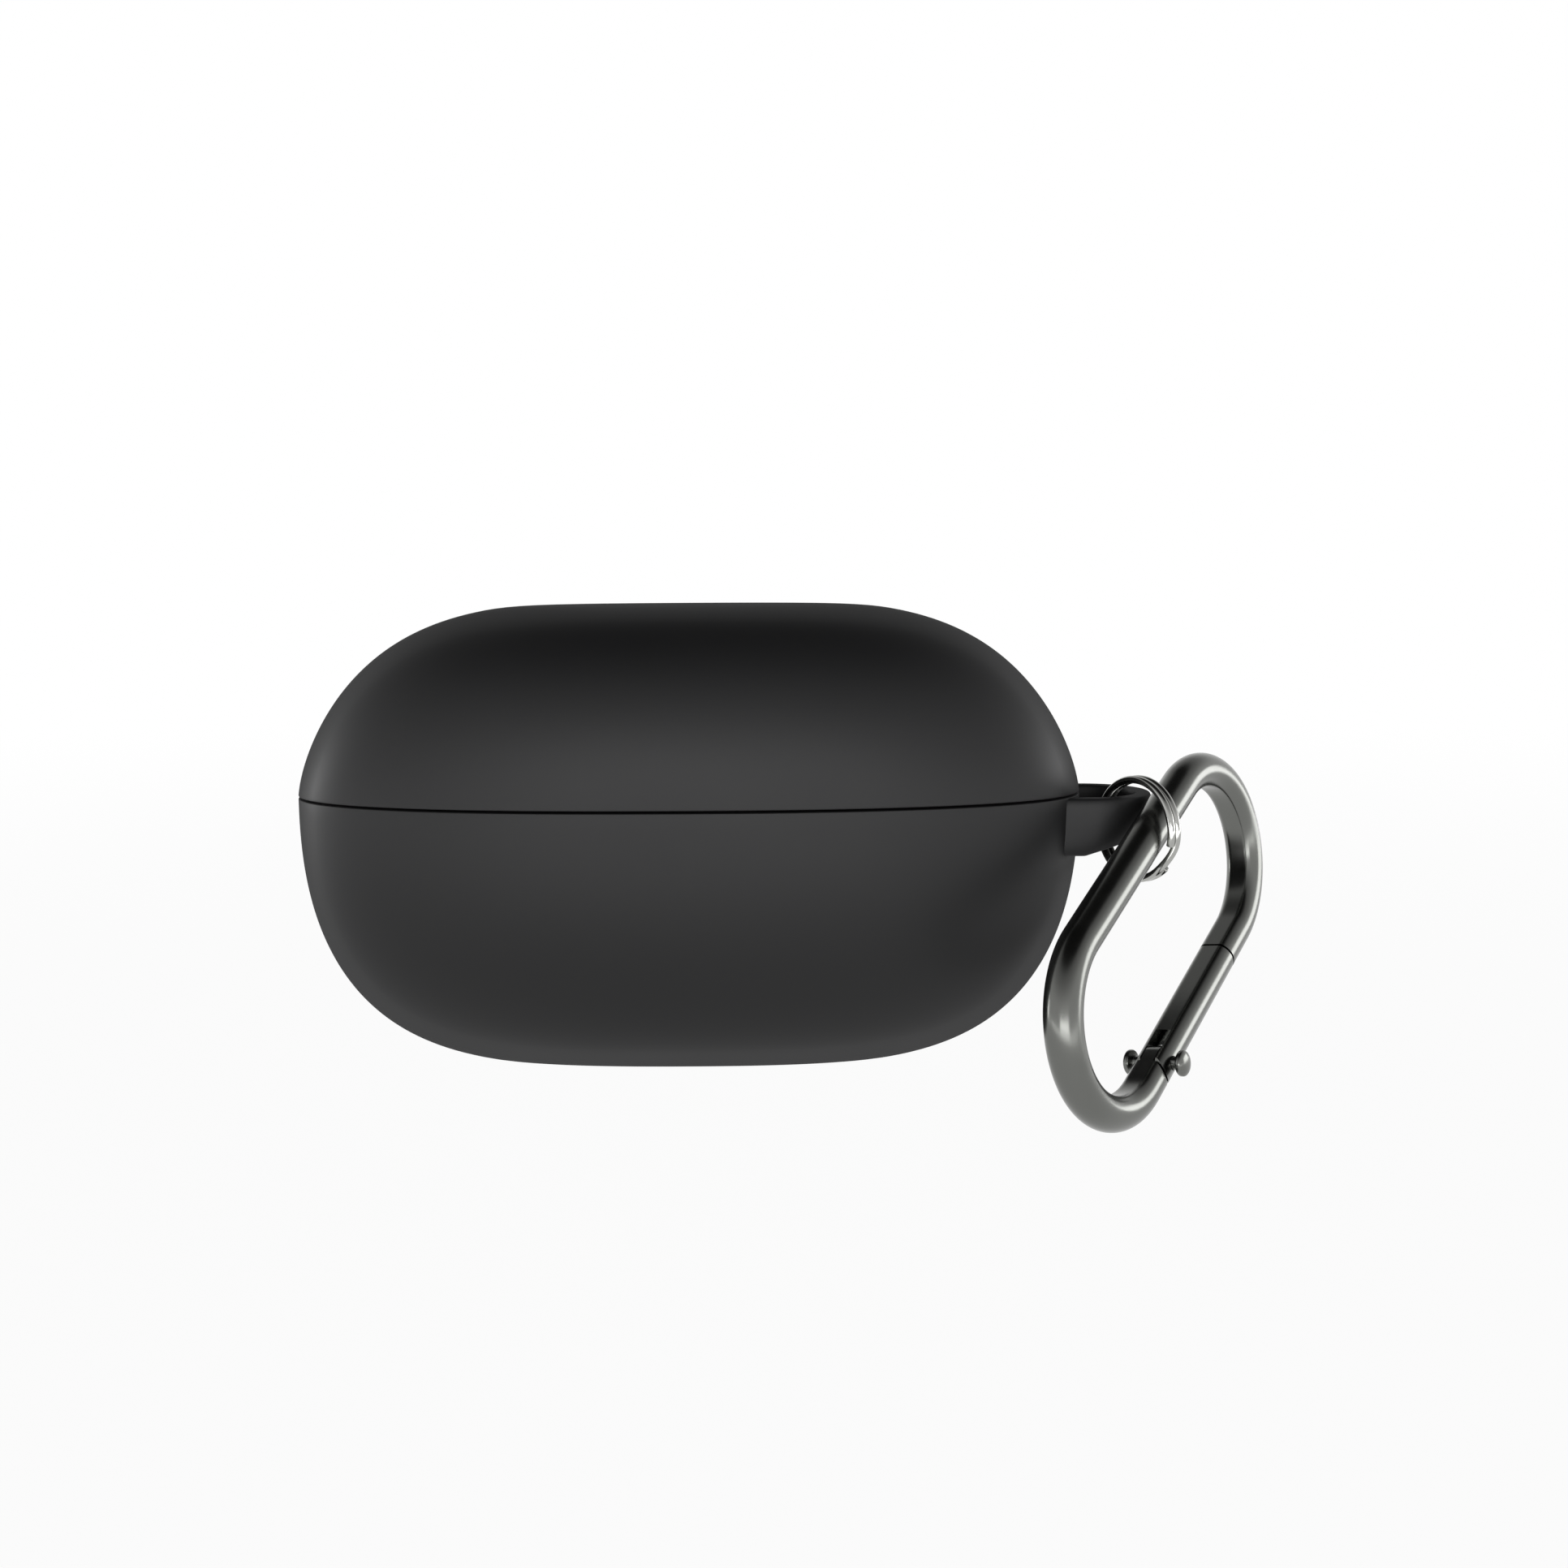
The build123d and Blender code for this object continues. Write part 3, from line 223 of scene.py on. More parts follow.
def pebble(share, inset, above, turns=288):
    """Points of the pebble form on a (share, turn) grid, in millimetres.

    share is the climbed part of the dome's height.  The half width is full x (1 - share^rise)^(1 / turn)
    and the half depth full x (1 - share^2.6)^(1 / 2.6).  The plan is a superellipse of power 2.4:
    x = a |cos t|^(2 / 2.4), y = b |sin t|^(2 / 2.4), with the signs of cos t and sin t.  Height is
    reach x share / 0.985, eased into the flat where that passes 1.
    """
    share = np.asarray(share, float)[:, None]
    inset = np.asarray(inset, float)[:, None]
    rise, turn = LID_POWERS if above else BASE_POWERS
    reach = (LID_REACH if above else PARTING) - inset
    width = (COVER_HALF_WIDTH - inset) * (1 - share ** rise) ** (1 / turn)
    depth = (COVER_HALF_DEPTH - inset) * (1 - share ** DEPTH_POWER) ** (1 / DEPTH_POWER)
    climb = share / FLAT_SHARE
    blend = np.clip(0.5 + 0.5 * (1 - climb) / FLAT_EASE, 0, 1)
    climb = climb * blend + (1 - blend) - FLAT_EASE * blend * (1 - blend)
    angle = np.linspace(0, 2 * pi, turns, endpoint=False)[None, :]
    x = width * np.sign(np.cos(angle)) * np.abs(np.cos(angle)) ** (2 / PLAN_POWER)
    y = depth * np.sign(np.sin(angle)) * np.abs(np.sin(angle)) ** (2 / PLAN_POWER)
    z = PARTING + (reach if above else -reach) * climb + 0 * angle
    return np.stack([x, y, z], -1)


def cup_profile(above, outer, inner, rows=60):
    """Shares and insets along a cup's wall: down the outside, round the lip, up the inside.

    A share is cos(t)^(2 / rise) for even steps of t, which spaces the rows evenly over the curve.
    """
    rise = (LID_POWERS if above else BASE_POWERS)[0]
    reach = LID_REACH if above else PARTING
    start = FLAT_SHARE * (PARTING_GAP / 2 + LIP_RADIUS) / (reach - outer)
    end = np.arccos(start ** (rise / 2))
    wall = np.cos(np.linspace(0, end, rows)) ** (2 / rise)
    lip = np.linspace(0, pi / 2, 6)
    inset_out = outer + LIP_RADIUS * (1 - np.cos(lip))
    rise_out = PARTING_GAP / 2 + LIP_RADIUS * (1 - np.sin(lip))
    inset_in = inner - LIP_RADIUS * (1 - np.cos(lip[::-1]))
    rise_in = PARTING_GAP / 2 + LIP_RADIUS * (1 - np.sin(lip[::-1]))
    lip_inset = np.concatenate([inset_out[1:], inset_in[:-1]])
    lip_share = FLAT_SHARE * np.concatenate([rise_out[1:], rise_in[:-1]]) / (reach - lip_inset)
    return (np.concatenate([wall, lip_share, wall[::-1]]),
            np.concatenate([np.full(rows, outer), lip_inset, np.full(rows, inner)]))


def grid_piece(name, points, wrap_rows=False):
    """Piece made of a grid of points in millimetres, with quads between its rows and columns.

    Ends that shrink to a point are merged, open ends are filled, and normals are turned outwards.
    """
    rows, columns = points.shape[:2]
    index = np.arange(rows * columns).reshape(rows, columns)
    lower = index if wrap_rows else index[:-1]
    upper = np.roll(index, -1, 0) if wrap_rows else index[1:]
    quads = np.stack([lower, np.roll(lower, -1, 1), np.roll(upper, -1, 1), upper], -1)
    faces = quads.reshape(-1, 4).tolist()
    if not wrap_rows:
        faces += [index[0, ::-1].tolist(), index[-1].tolist()]
    mesh = bpy.data.meshes.new(name)
    mesh.from_pydata((points.reshape(-1, 3) * MM).tolist(), [], faces)
    work = bmesh.new()
    work.from_mesh(mesh)
    bmesh.ops.remove_doubles(work, verts=work.verts, dist=1e-7)
    bmesh.ops.recalc_face_normals(work, faces=work.faces)
    work.to_mesh(mesh)
    work.free()
    return new_object(name, mesh)


def prism(name, outline, start, end, axis="X"):
    """Closed prism: a flat outline of point pairs in millimetres, run from start to end along an axis."""
    outline = np.asarray(outline, float)
    ends = []
    for along in (start, end):
        fixed = np.full(len(outline), along)
        order = {"X": (fixed, outline[:, 0], outline[:, 1]), "Y": (outline[:, 0], fixed, outline[:, 1]),
                 "Z": (outline[:, 0], outline[:, 1], fixed)}[axis]
        ends.append(np.stack(order, -1))
    return grid_piece(name, np.stack(ends))


def combine(made, tools, operation="DIFFERENCE"):
    """Applies exact booleans with the tools, which are then removed."""
    for tool in tools:
        step = made.modifiers.new("combine", "BOOLEAN")
        step.operation = operation
        step.solver = "EXACT"
        step.object = tool
    bpy.context.view_layer.update()
    result = bpy.data.meshes.new_from_object(made.evaluated_get(bpy.context.evaluated_depsgraph_get()))
    made.modifiers.clear()
    made.data = result
    for tool in tools:
        bpy.data.objects.remove(tool)
    return made


def finish(made, material, body, replaced, crease=35.0):
    """Smooth shading with creases above the angle, the material, and the piece's places in the record."""
    made.data.shade_smooth()
    made.data.set_sharp_from_angle(angle=radians(crease))
    made.data.materials.clear()
    made.data.materials.append(material)
    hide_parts(*replaced)
    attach(made, body)


LID_OPENING = 95
RELIEF_DEPTH = 6
RELIEF_SPREAD = RELIEF_DEPTH * tan(radians(LID_OPENING / 2 + 2.5))
KNUCKLE_ROOM = 1.75
KNUCKLES_END = 8.25
LEAF_ROOM = 1.45
LEAF_END = 3.4


def hinge_cutters(name):
    """The vee behind the hinge axis and the round notch for its knuckles, as two prisms along X."""
    vee = [(HINGE_Y, PARTING), (HINGE_Y + RELIEF_DEPTH, PARTING + RELIEF_SPREAD),
           (HINGE_Y + RELIEF_DEPTH, PARTING - RELIEF_SPREAD)]
    notch = [(HINGE_Y + KNUCKLE_ROOM * cos(a), PARTING + KNUCKLE_ROOM * sin(a))
             for a in np.linspace(-pi / 2, pi / 2, 25)]
    notch += [(HINGE_Y, PARTING + LEAF_ROOM), (HINGE_Y - LEAF_END, PARTING + LEAF_ROOM),
              (HINGE_Y - LEAF_END, PARTING - LEAF_ROOM), (HINGE_Y, PARTING - LEAF_ROOM)]
    return [prism(name + "_vee", vee, -COVER_HALF_WIDTH, COVER_HALF_WIDTH),
            prism(name + "_notch", notch, -KNUCKLES_END, KNUCKLES_END)]


def rounded_outline(width, height, corner, centre=(0, 0), steps=8):
    """Points of a rounded rectangle: a quarter circle at each corner, joined by straight sides."""
    points = []
    for quarter, (sx, sy) in enumerate(((1, 1), (-1, 1), (-1, -1), (1, -1))):
        for a in np.linspace(0, pi / 2, steps) + quarter * pi / 2:
            points.append((centre[0] + sx * (width / 2 - corner) + corner * cos(a),
                           centre[1] + sy * (height / 2 - corner) + corner * sin(a)))
    return points


def new_material(name):
    """Material with a Principled surface; returns it, its node tree, the surface node and the place."""
    made = bpy.data.materials.new(name)
    made.use_nodes = True
    tree = made.node_tree
    return made, tree, tree.nodes["Principled BSDF"], node(tree, "ShaderNodeTexCoord").outputs["Object"]


# Cured silicone from a spark-eroded mould: a dull black with a soft broad sheen and a fine grain.  Its skin
# of pits gives back less of the light than a smooth one would, so its specular level is low.
silicone, tree, skin, place = new_material("moulded_black_silicone")
PATCHES = 9 / (100 * MM)    # nine drifts of tone in 100 mm
GRAIN = 1 / (0.22 * MM)     # 0.22 mm pits, coarser than the mould's own so that they show
cloud = node(tree, "ShaderNodeTexNoise", {"Scale": PATCHES, "Detail": 2.0}, {"Vector": place})
grain = node(tree, "ShaderNodeTexNoise", {"Scale": GRAIN, "Detail": 2.0}, {"Vector": place})
tone = node(tree, "ShaderNodeMix", {"data_type": "RGBA", 6: linear("#19191a"), 7: linear("#1d1d1e")},
            {0: cloud.outputs["Fac"]})
dulling = node(tree, "ShaderNodeMapRange", {"To Min": 0.44, "To Max": 0.50}, {"Value": cloud.outputs["Fac"]})
pitting = node(tree, "ShaderNodeBump", {"Strength": 0.06, "Distance": 0.04 * MM},
               {"Height": grain.outputs["Fac"]})
# the pits stand edge-on at a slant, so the sheen is duller there
slant = node(tree, "ShaderNodeLayerWeight", {"Blend": 0.5})
edge_on = node(tree, "ShaderNodeMapRange",
               {"From Min": 0.5, "From Max": 0.95, "To Min": 0.0, "To Max": 0.42},
               {"Value": slant.outputs["Facing"]})
dulled = node(tree, "ShaderNodeMath", {"operation": "ADD"}, {0: dulling.outputs[0], 1: edge_on.outputs[0]})
tree.links.new(tone.outputs[2], skin.inputs["Base Color"])
tree.links.new(dulled.outputs[0], skin.inputs["Roughness"])
tree.links.new(pitting.outputs[0], skin.inputs["Normal"])
skin.inputs["IOR"].default_value = 1.5
skin.inputs["Specular IOR Level"].default_value = 0.3

lid_skin = grid_piece("silicone_lid", pebble(*cup_profile(True, 0.0, COVER_WALL), True))
combine(lid_skin, hinge_cutters("lid"))
finish(lid_skin, silicone, "lid", ["cover_lid"])
base_skin = grid_piece("silicone_base", pebble(*cup_profile(False, 0.0, COVER_WALL), False))

# The strap loop is part of the base's moulding: a band that leaves the side, bends round and comes back.
STRAP_TIP = 42.8
STRAP_HALF = 6.0
STRAP_THICK = 1.6
STRAP_ROOT_HEIGHT = 5.3
STRAP_TIP_HEIGHT = 3.1
STRAP_OVERLAP = 3.4
STRAP_TOP = PARTING - 0.15
BEND_X = STRAP_TIP - STRAP_HALF
BEND_RADIUS = STRAP_HALF - STRAP_THICK / 2


def strap_band(rows=120, around=48):
    """Band carried round the loop: two straight runs joined by a half circle.

    Its section is a superellipse of power 5, 1.6 mm thick.  The band's depth falls in a straight line
    from the cover to the tip, and it thickens by a soft flare, exp(-distance / 0.8), at the cover.
    """
    run = BEND_X - (COVER_HALF_WIDTH - STRAP_OVERLAP)
    length = 2 * run + pi * BEND_RADIUS
    s = np.linspace(0, length, rows)
    bend = np.clip((s - run) / BEND_RADIUS, 0, pi)
    back = np.clip(s - run - pi * BEND_RADIUS, 0, None)
    x = BEND_X - run + np.minimum(s, run) + BEND_RADIUS * np.sin(bend) - back
    y = -BEND_RADIUS * np.cos(bend)
    out = np.stack([np.sin(bend), -np.cos(bend)], -1)
    reach = np.clip((x - COVER_HALF_WIDTH) / (STRAP_TIP - COVER_HALF_WIDTH), 0, 1)
    deep = STRAP_ROOT_HEIGHT - (STRAP_ROOT_HEIGHT - STRAP_TIP_HEIGHT) * reach
    flare = 0.35 * np.exp(-np.clip(x - COVER_HALF_WIDTH + 1.5, 0, None) / 0.8)
    angle = np.linspace(0, 2 * pi, around, endpoint=False)
    p = np.sign(np.cos(angle)) * np.abs(np.cos(angle)) ** (2 / 5)
    q = np.sign(np.sin(angle)) * np.abs(np.sin(angle)) ** (2 / 5)
    thick = STRAP_THICK / 2 + flare[:, None] * np.where(p > 0, 0.0, 0.4)
    across = thick * p[None, :]
    points = np.empty((rows, around, 3))
    points[..., 0] = x[:, None] + out[:, :1] * across
    points[..., 1] = y[:, None] + out[:, 1:] * across
    points[..., 2] = STRAP_TOP - deep[:, None] / 2 + q[None, :] * deep[:, None] / 2
    return points


PORT_WIDTH, PORT_HEIGHT, PORT_CORNER = 12.5, 6.8, 2.4
port = rounded_outline(PORT_WIDTH, PORT_HEIGHT, PORT_CORNER, (0, middle("usb_socket")[2]))
combine(base_skin, [grid_piece("strap_band", strap_band())], "UNION")
combine(base_skin, hinge_cutters("base") + [prism("port", port, 5, 20, "Y")])
finish(base_skin, silicone, "base", ["cover_base"])


# ---- Charging case: base shell, lid shell, cradle and liner ----
# Two injection-moulded ABS shells 1.4 mm thick carry the works.  The cradle has a well for each earbud and
# the lid's liner a pocket for each cap; both are glued in 0.1 mm from the shells.
def grained(name, tones, patch, grain, depth, rough, metal=0.0, stretch=(1, 1, 1)):
    """Material that drifts between two tones over patches and carries a fine grain; sizes in millimetres.

    Colour is a mix of the tones by noise(place / patch).  Roughness and height follow noise(place / grain),
    and stretch scales the place first, so that a drawn or brushed surface gets long lines.  The real grains
    are mostly finer than shows, and are drawn coarser here, 0.06 to 0.3 mm.
    """
    made, tree, skin, place = new_material(name)
    drift = node(tree, "ShaderNodeTexNoise", {"Scale": 1 / (patch * MM), "Detail": 2.0}, {"Vector": place})
    drawn = node(tree, "ShaderNodeMapping", {"Scale": stretch}, {"Vector": place})
    grit = node(tree, "ShaderNodeTexNoise", {"Scale": 1 / (grain * MM), "Detail": 3.0},
                {"Vector": drawn.outputs[0]})
    colour = node(tree, "ShaderNodeMix", {"data_type": "RGBA", 6: linear(tones[0]), 7: linear(tones[1])},
                  {0: drift.outputs["Fac"]})
    dulling = node(tree, "ShaderNodeMapRange", {"To Min": rough[0], "To Max": rough[1]},
                   {"Value": grit.outputs["Fac"]})
    bump = node(tree, "ShaderNodeBump", {"Strength": 0.5, "Distance": depth * MM},
                {"Height": grit.outputs["Fac"]})
    tree.links.new(colour.outputs[2], skin.inputs["Base Color"])
    tree.links.new(dulling.outputs[0], skin.inputs["Roughness"])
    tree.links.new(bump.outputs[0], skin.inputs["Normal"])
    skin.inputs["Metallic"].default_value = metal
    return made


def dressed(node_name, material, body, crease=32.0):
    """A modelled piece that keeps its shape: triangles merged, smooth between its creases, its own finish.

    A level face also ends in a crease wherever it meets one that isn't level.
    """
    mesh = nodes[node_name].data.copy()
    work = bmesh.new()
    work.from_mesh(mesh)
    bmesh.ops.remove_doubles(work, verts=work.verts, dist=1e-6)
    work.to_mesh(mesh)
    work.free()
    made = new_object(node_name + "_piece", mesh)
    finish(made, material, body, [node_name], crease)
    work = bmesh.new()
    work.from_mesh(made.data)
    for edge in work.edges:
        level_sides = {abs(side.normal.z) > 0.99999 for side in edge.link_faces}
        edge.smooth = edge.smooth and len(level_sides) == 1
    work.to_mesh(made.data)
    work.free()
    even = made.modifiers.new("even_shading", "WEIGHTED_NORMAL")
    even.keep_sharp = True
    even.weight = 100


# ABS moulded in a spark-eroded tool: an even dull charcoal that hides finger marks.
abs_shell = grained("spark_eroded_abs", ("#222225", "#29292c"), patch=9.0, grain=0.16, depth=0.012,
                    rough=(0.46, 0.60))
# ABS from a stoned tool: a darker satin, whose soft highlights draw the wells and pockets.
abs_cradle = grained("satin_abs", ("#1c1c1f", "#232326"), patch=14.0, grain=0.35, depth=0.004,
                     rough=(0.30, 0.40))
dressed("case_base_shell", abs_shell, "base")
dressed("case_lid_shell", abs_shell, "lid")
dressed("cradle", abs_cradle, "base", crease=12.0)
dressed("lid_liner", abs_cradle, "lid", crease=12.0)

# ---- Hinge and magnets ----
# Two leaves stamped from 0.8 mm stainless, with knuckles rolled round a ground pin 1.2 mm thick.
# Four nickel-plated neodymium blocks, two in each half, hold the lid shut.
LENGTHWISE = (0.06, 1, 1)
ROUND_THE_PIN = (1, 0.1, 0.1)
# Stamped stainless strip: a satin grey with faint rolling lines along its length.
stamped = grained("stamped_stainless", ("#b6b7b5", "#c4c4c1"), patch=6.0, grain=0.12, depth=0.003,
                  rough=(0.24, 0.38), metal=1.0, stretch=LENGTHWISE)
# Centreless-ground stainless: brighter, with fine lines that run round it.
ground = grained("ground_stainless_pin", ("#c6c7c5", "#d0d0cd"), patch=5.0, grain=0.08, depth=0.001,
                 rough=(0.14, 0.22), metal=1.0, stretch=ROUND_THE_PIN)
# Nickel plated in a barrel over a sintered block: a warm grey, duller than polished nickel.
plated = grained("nickel_plated_magnet", ("#8d8b84", "#9a9890"), patch=3.0, grain=0.1, depth=0.001,
                 rough=(0.22, 0.34), metal=1.0)
dressed("hinge_base_leaf", stamped, "base")
dressed("hinge_lid_leaf", stamped, "lid")
dressed("hinge_pin", ground, "base")
for side in ("left", "right"):
    dressed("base_magnet_" + side, plated, "base")
    dressed("lid_magnet_" + side, plated, "lid")

# ---- Battery, board and its screws ----
# A lithium pouch cell in creased aluminium laminate, with amber polyimide tape over its sealed end.
# The board is glass epoxy under green solder mask; two zinc-plated screws hold it to the shell.
TAPE_DEPTH = 3.2
# Laminate: bright foil with soft creases, and a clear amber gloss where the tape covers it.
laminate, tree, skin, place = new_material("aluminium_laminate_pouch")
creases = node(tree, "ShaderNodeTexNoise", {"Scale": 1 / (2.6 * MM), "Detail": 3.0}, {"Vector": place})
rise = node(tree, "ShaderNodeSeparateXYZ", None, {0: place})
tape_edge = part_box("battery")[1][2] - TAPE_DEPTH * MM
taped = node(tree, "ShaderNodeMath", {"operation": "GREATER_THAN", 1: tape_edge}, {0: rise.outputs["Z"]})
colour = node(tree, "ShaderNodeMix", {"data_type": "RGBA", 6: linear("#bfc1c4"), 7: linear("#b5741c")},
              {0: taped.outputs[0]})
bare = node(tree, "ShaderNodeMath", {"operation": "SUBTRACT", 0: 1.0}, {1: taped.outputs[0]})
bump = node(tree, "ShaderNodeBump", {"Strength": 0.4, "Distance": 0.15 * MM},
            {"Height": creases.outputs["Fac"]})
tree.links.new(colour.outputs[2], skin.inputs["Base Color"])
tree.links.new(bare.outputs[0], skin.inputs["Metallic"])
tree.links.new(bump.outputs[0], skin.inputs["Normal"])
skin.inputs["Roughness"].default_value = 0.34
dressed("battery", laminate, "base")

# Solder mask over copper: the tracks, a third of a millimetre wide on a grid of 1.4 by 0.7 mm, show as a
# lighter green.
mask, tree, skin, place = new_material("green_solder_mask_board")
tracks = node(tree, "ShaderNodeTexBrick",
              {"Scale": 1 / (2.8 * MM), "Mortar Size": 0.06, "Color1": linear("#0d4a2b"),
               "Color2": linear("#0f5230"), "Mortar": linear("#2a7d4d")}, {"Vector": place})
weave = node(tree, "ShaderNodeTexNoise", {"Scale": 1 / (0.3 * MM), "Detail": 2.0}, {"Vector": place})
dulling = node(tree, "ShaderNodeMapRange", {"To Min": 0.22, "To Max": 0.38}, {"Value": weave.outputs["Fac"]})
tree.links.new(tracks.outputs["Color"], skin.inputs["Base Color"])
tree.links.new(dulling.outputs[0], skin.inputs["Roughness"])
dressed("main_board", mask, "base")
# Bright zinc plate: a cool light grey with a faint crystal grain.
zinc = grained("zinc_plated_screw", ("#a5a7aa", "#b3b5b4"), patch=1.5, grain=0.1, depth=0.002,
               rough=(0.24, 0.36), metal=1.0)
for side in ("left", "right"):
    dressed("board_screw_" + side, zinc, "base")

# ---- Charging socket and spring contacts ----
# A drawn stainless shell round a black nylon tongue with gold fingers, seen through the rear window.
# Four gold-plated spring pins stand on the board and meet the earbuds' contacts.
FINGER_PITCH = 0.5
FINGER_WIDTH = 0.24
FRONT_TO_BACK = (1, 0.08, 1)
# Drawn stainless: a satin grey with fine lines from front to back, as the die leaves them.
drawn = grained("drawn_stainless_socket", ("#b4b5b6", "#c2c2c1"), patch=3.0, grain=0.08, depth=0.002,
                rough=(0.22, 0.36), metal=1.0, stretch=FRONT_TO_BACK)
dressed("usb_socket", drawn, "base")
# Moulded nylon: a soft black, crossed by bright gold fingers.
nylon, tree, skin, place = new_material("black_nylon_tongue_gold_fingers")
across = node(tree, "ShaderNodeSeparateXYZ", None, {0: place})
pitch = node(tree, "ShaderNodeMath", {"operation": "PINGPONG", 1: FINGER_PITCH / 2 * MM},
             {0: across.outputs["X"]})
finger = node(tree, "ShaderNodeMath", {"operation": "LESS_THAN", 1: FINGER_WIDTH / 2 * MM},
              {0: pitch.outputs[0]})
colour = node(tree, "ShaderNodeMix", {"data_type": "RGBA", 6: linear("#141414"), 7: linear("#d6ad58")},
              {0: finger.outputs[0]})
tree.links.new(colour.outputs[2], skin.inputs["Base Color"])
tree.links.new(finger.outputs[0], skin.inputs["Metallic"])
skin.inputs["Roughness"].default_value = 0.32
dressed("usb_tongue", nylon, "base")
# Hard gold over nickel: a warm pale yellow, bright and nearly smooth.
gold = grained("hard_gold_plate", ("#d9b263", "#e0bd76"), patch=1.0, grain=0.06, depth=0.001,
               rough=(0.16, 0.28), metal=1.0)
for pin in ("left_front", "left_rear", "right_front", "right_rear"):
    dressed("pogo_" + pin, gold, "base")

# ---- Earbuds ----
# Each is a moulded ABS bowl with a nozzle, a gloss touch cap let into its top, a silicone tip, an etched
# mesh, a driver and a coin cell.  The bowl's two mouldings meet in a fine seam; the tip is stretched on.
BUD_SPACING = 35.0
BOWL = 8.6
BOWL_CENTRE = 1.0
BOWL_INSIDE = 7.7
BOWL_SHOULDER = 1.2
BUD_SEAM_DEPTH = 0.09
BUD_TOP = 4.4
CAP = 6.9
CAP_SEAT = 2.9
CAP_TOP = 4.80
CAP_ROUNDING = 0.35
DISH = 5.9
NOZZLE = 2.6
NOZZLE_BORE = 1.7
NOZZLE_END = 10.6
CONTACT_HOLE = 0.93
CONTACT_REACH = 7.6
CONTACT_TURN = radians(35)


def lathe(name, profile, centre, closed, turns=96):
    """Turned surface: a profile's (r, z) go to (r cos t, r sin t, z) round an upright line through centre."""
    profile = np.asarray(profile, float)
    angle = np.linspace(0, 2 * pi, turns, endpoint=False)[None, :]
    points = np.stack([centre[0] + profile[:, :1] * np.cos(angle), centre[1] + profile[:, :1] * np.sin(angle),
                       centre[2] + profile[:, 1:] + 0 * angle], -1)
    return grid_piece(name, points, wrap_rows=closed)


def bowl_profile():
    """Bowl's wall and nozzle as (r, z): spheres of radius 8.6 and 7.7 about one centre, and a seam groove."""
    lean = np.linspace(np.arcsin(NOZZLE / BOWL), pi / 2, 28)
    outside = np.stack([BOWL * np.sin(lean), BOWL_CENTRE - BOWL * np.cos(lean)], -1).tolist()
    groove = BOWL - BUD_SEAM_DEPTH
    seam = [(BOWL, 1.62), (groove, 1.66), (groove, 1.76), (BOWL, 1.80)]
    round_top = [(BOWL - BOWL_SHOULDER + BOWL_SHOULDER * cos(a), CAP_SEAT + 1.5 * sin(a))
                 for a in np.linspace(0, pi / 2, 10)]
    seat = [(CAP + 0.06, BUD_TOP), (CAP, BUD_TOP - 0.06), (CAP, CAP_SEAT), (CAP - 0.8, CAP_SEAT),
            (CAP - 0.8, CAP_SEAT - 0.4), (BOWL_INSIDE, CAP_SEAT - 1.6)]
    lean = np.linspace(pi / 2, np.arcsin(NOZZLE_BORE / BOWL_INSIDE), 20)
    inside = np.stack([BOWL_INSIDE * np.sin(lean), BOWL_CENTRE - BOWL_INSIDE * np.cos(lean)], -1).tolist()
    return [(NOZZLE, -NOZZLE_END)] + outside + seam + round_top + seat + inside + [(NOZZLE_BORE, -NOZZLE_END)]


def cap_profile():
    """Touch cap as (r, z): round edge, a fine ring groove, and a dish 0.1 mm deep, (1 - (r / 5.9)^2) / 10."""
    edge = [(CAP - 0.4 + CAP_ROUNDING * cos(a), CAP_TOP - CAP_ROUNDING + CAP_ROUNDING * sin(a))
            for a in np.linspace(0, pi / 2, 8)]
    groove = [(6.12, CAP_TOP), (6.08, CAP_TOP - 0.07), (6.00, CAP_TOP - 0.07), (5.96, CAP_TOP)]
    dish = [(r, CAP_TOP - 0.1 * (1 - (r / DISH) ** 2)) for r in np.linspace(DISH, 0, 14)]
    return [(0, CAP_SEAT + 0.02), (CAP - 0.05, CAP_SEAT + 0.02)] + edge + groove + dish


# ABS from a polished tool: black with a soft gloss.
bud_abs = grained("moulded_abs_bud", ("#19191b", "#1f1f21"), patch=5.0, grain=0.3, depth=0.003,
                  rough=(0.26, 0.36))
# Lacquered cap: a near-black mirror, the clearest surface of the set.
piano_cap = grained("gloss_black_cap", ("#0e0e10", "#131315"), patch=6.0, grain=0.6, depth=0.0005,
                    rough=(0.05, 0.09))
# Tip silicone: a smoky grey that looks dull and soft.
tip_rubber = grained("translucent_tip_silicone", ("#2e2e30", "#38383a"), patch=4.0, grain=0.2, depth=0.004,
                     rough=(0.46, 0.58))
# Aluminium can: a light satin grey with fine lines down its side.
turned = grained("turned_aluminium_driver", ("#97999c", "#a4a6a8"), patch=2.0, grain=0.1, depth=0.003,
                 rough=(0.28, 0.42), metal=1.0, stretch=(1, 1, 0.1))
# Nickel-faced steel: the coin cell's bright and nearly smooth skin.
coin = grained("coin_cell_steel", ("#b7b8b7", "#c4c4c2"), patch=3.0, grain=0.08, depth=0.001,
               rough=(0.18, 0.3), metal=1.0)
# Etched steel foil: a grey screen of holes 0.16 mm wide on a 0.32 mm spacing. The holes are not cut; each is
# a near-black dull dot of painted shade, for the darkness behind it.
MESH_PITCH = 0.32
MESH_HOLE = 0.16
etched, tree, skin, place = new_material("etched_steel_mesh")
cells = node(tree, "ShaderNodeTexVoronoi", {"Scale": 1 / (MESH_PITCH * MM), "Randomness": 0.0},
             {"Vector": place})
# painted shade: the holes are a near-black, non-metal colour on the flat foil, not openings through it
hole = node(tree, "ShaderNodeMath", {"operation": "LESS_THAN", 1: MESH_HOLE / MESH_PITCH / 2},
            {0: cells.outputs["Distance"]})
colour = node(tree, "ShaderNodeMix", {"data_type": "RGBA", 6: linear("#8f9193"), 7: linear("#060606")},
              {0: hole.outputs[0]})
solid = node(tree, "ShaderNodeMath", {"operation": "SUBTRACT", 0: 1.0}, {1: hole.outputs[0]})
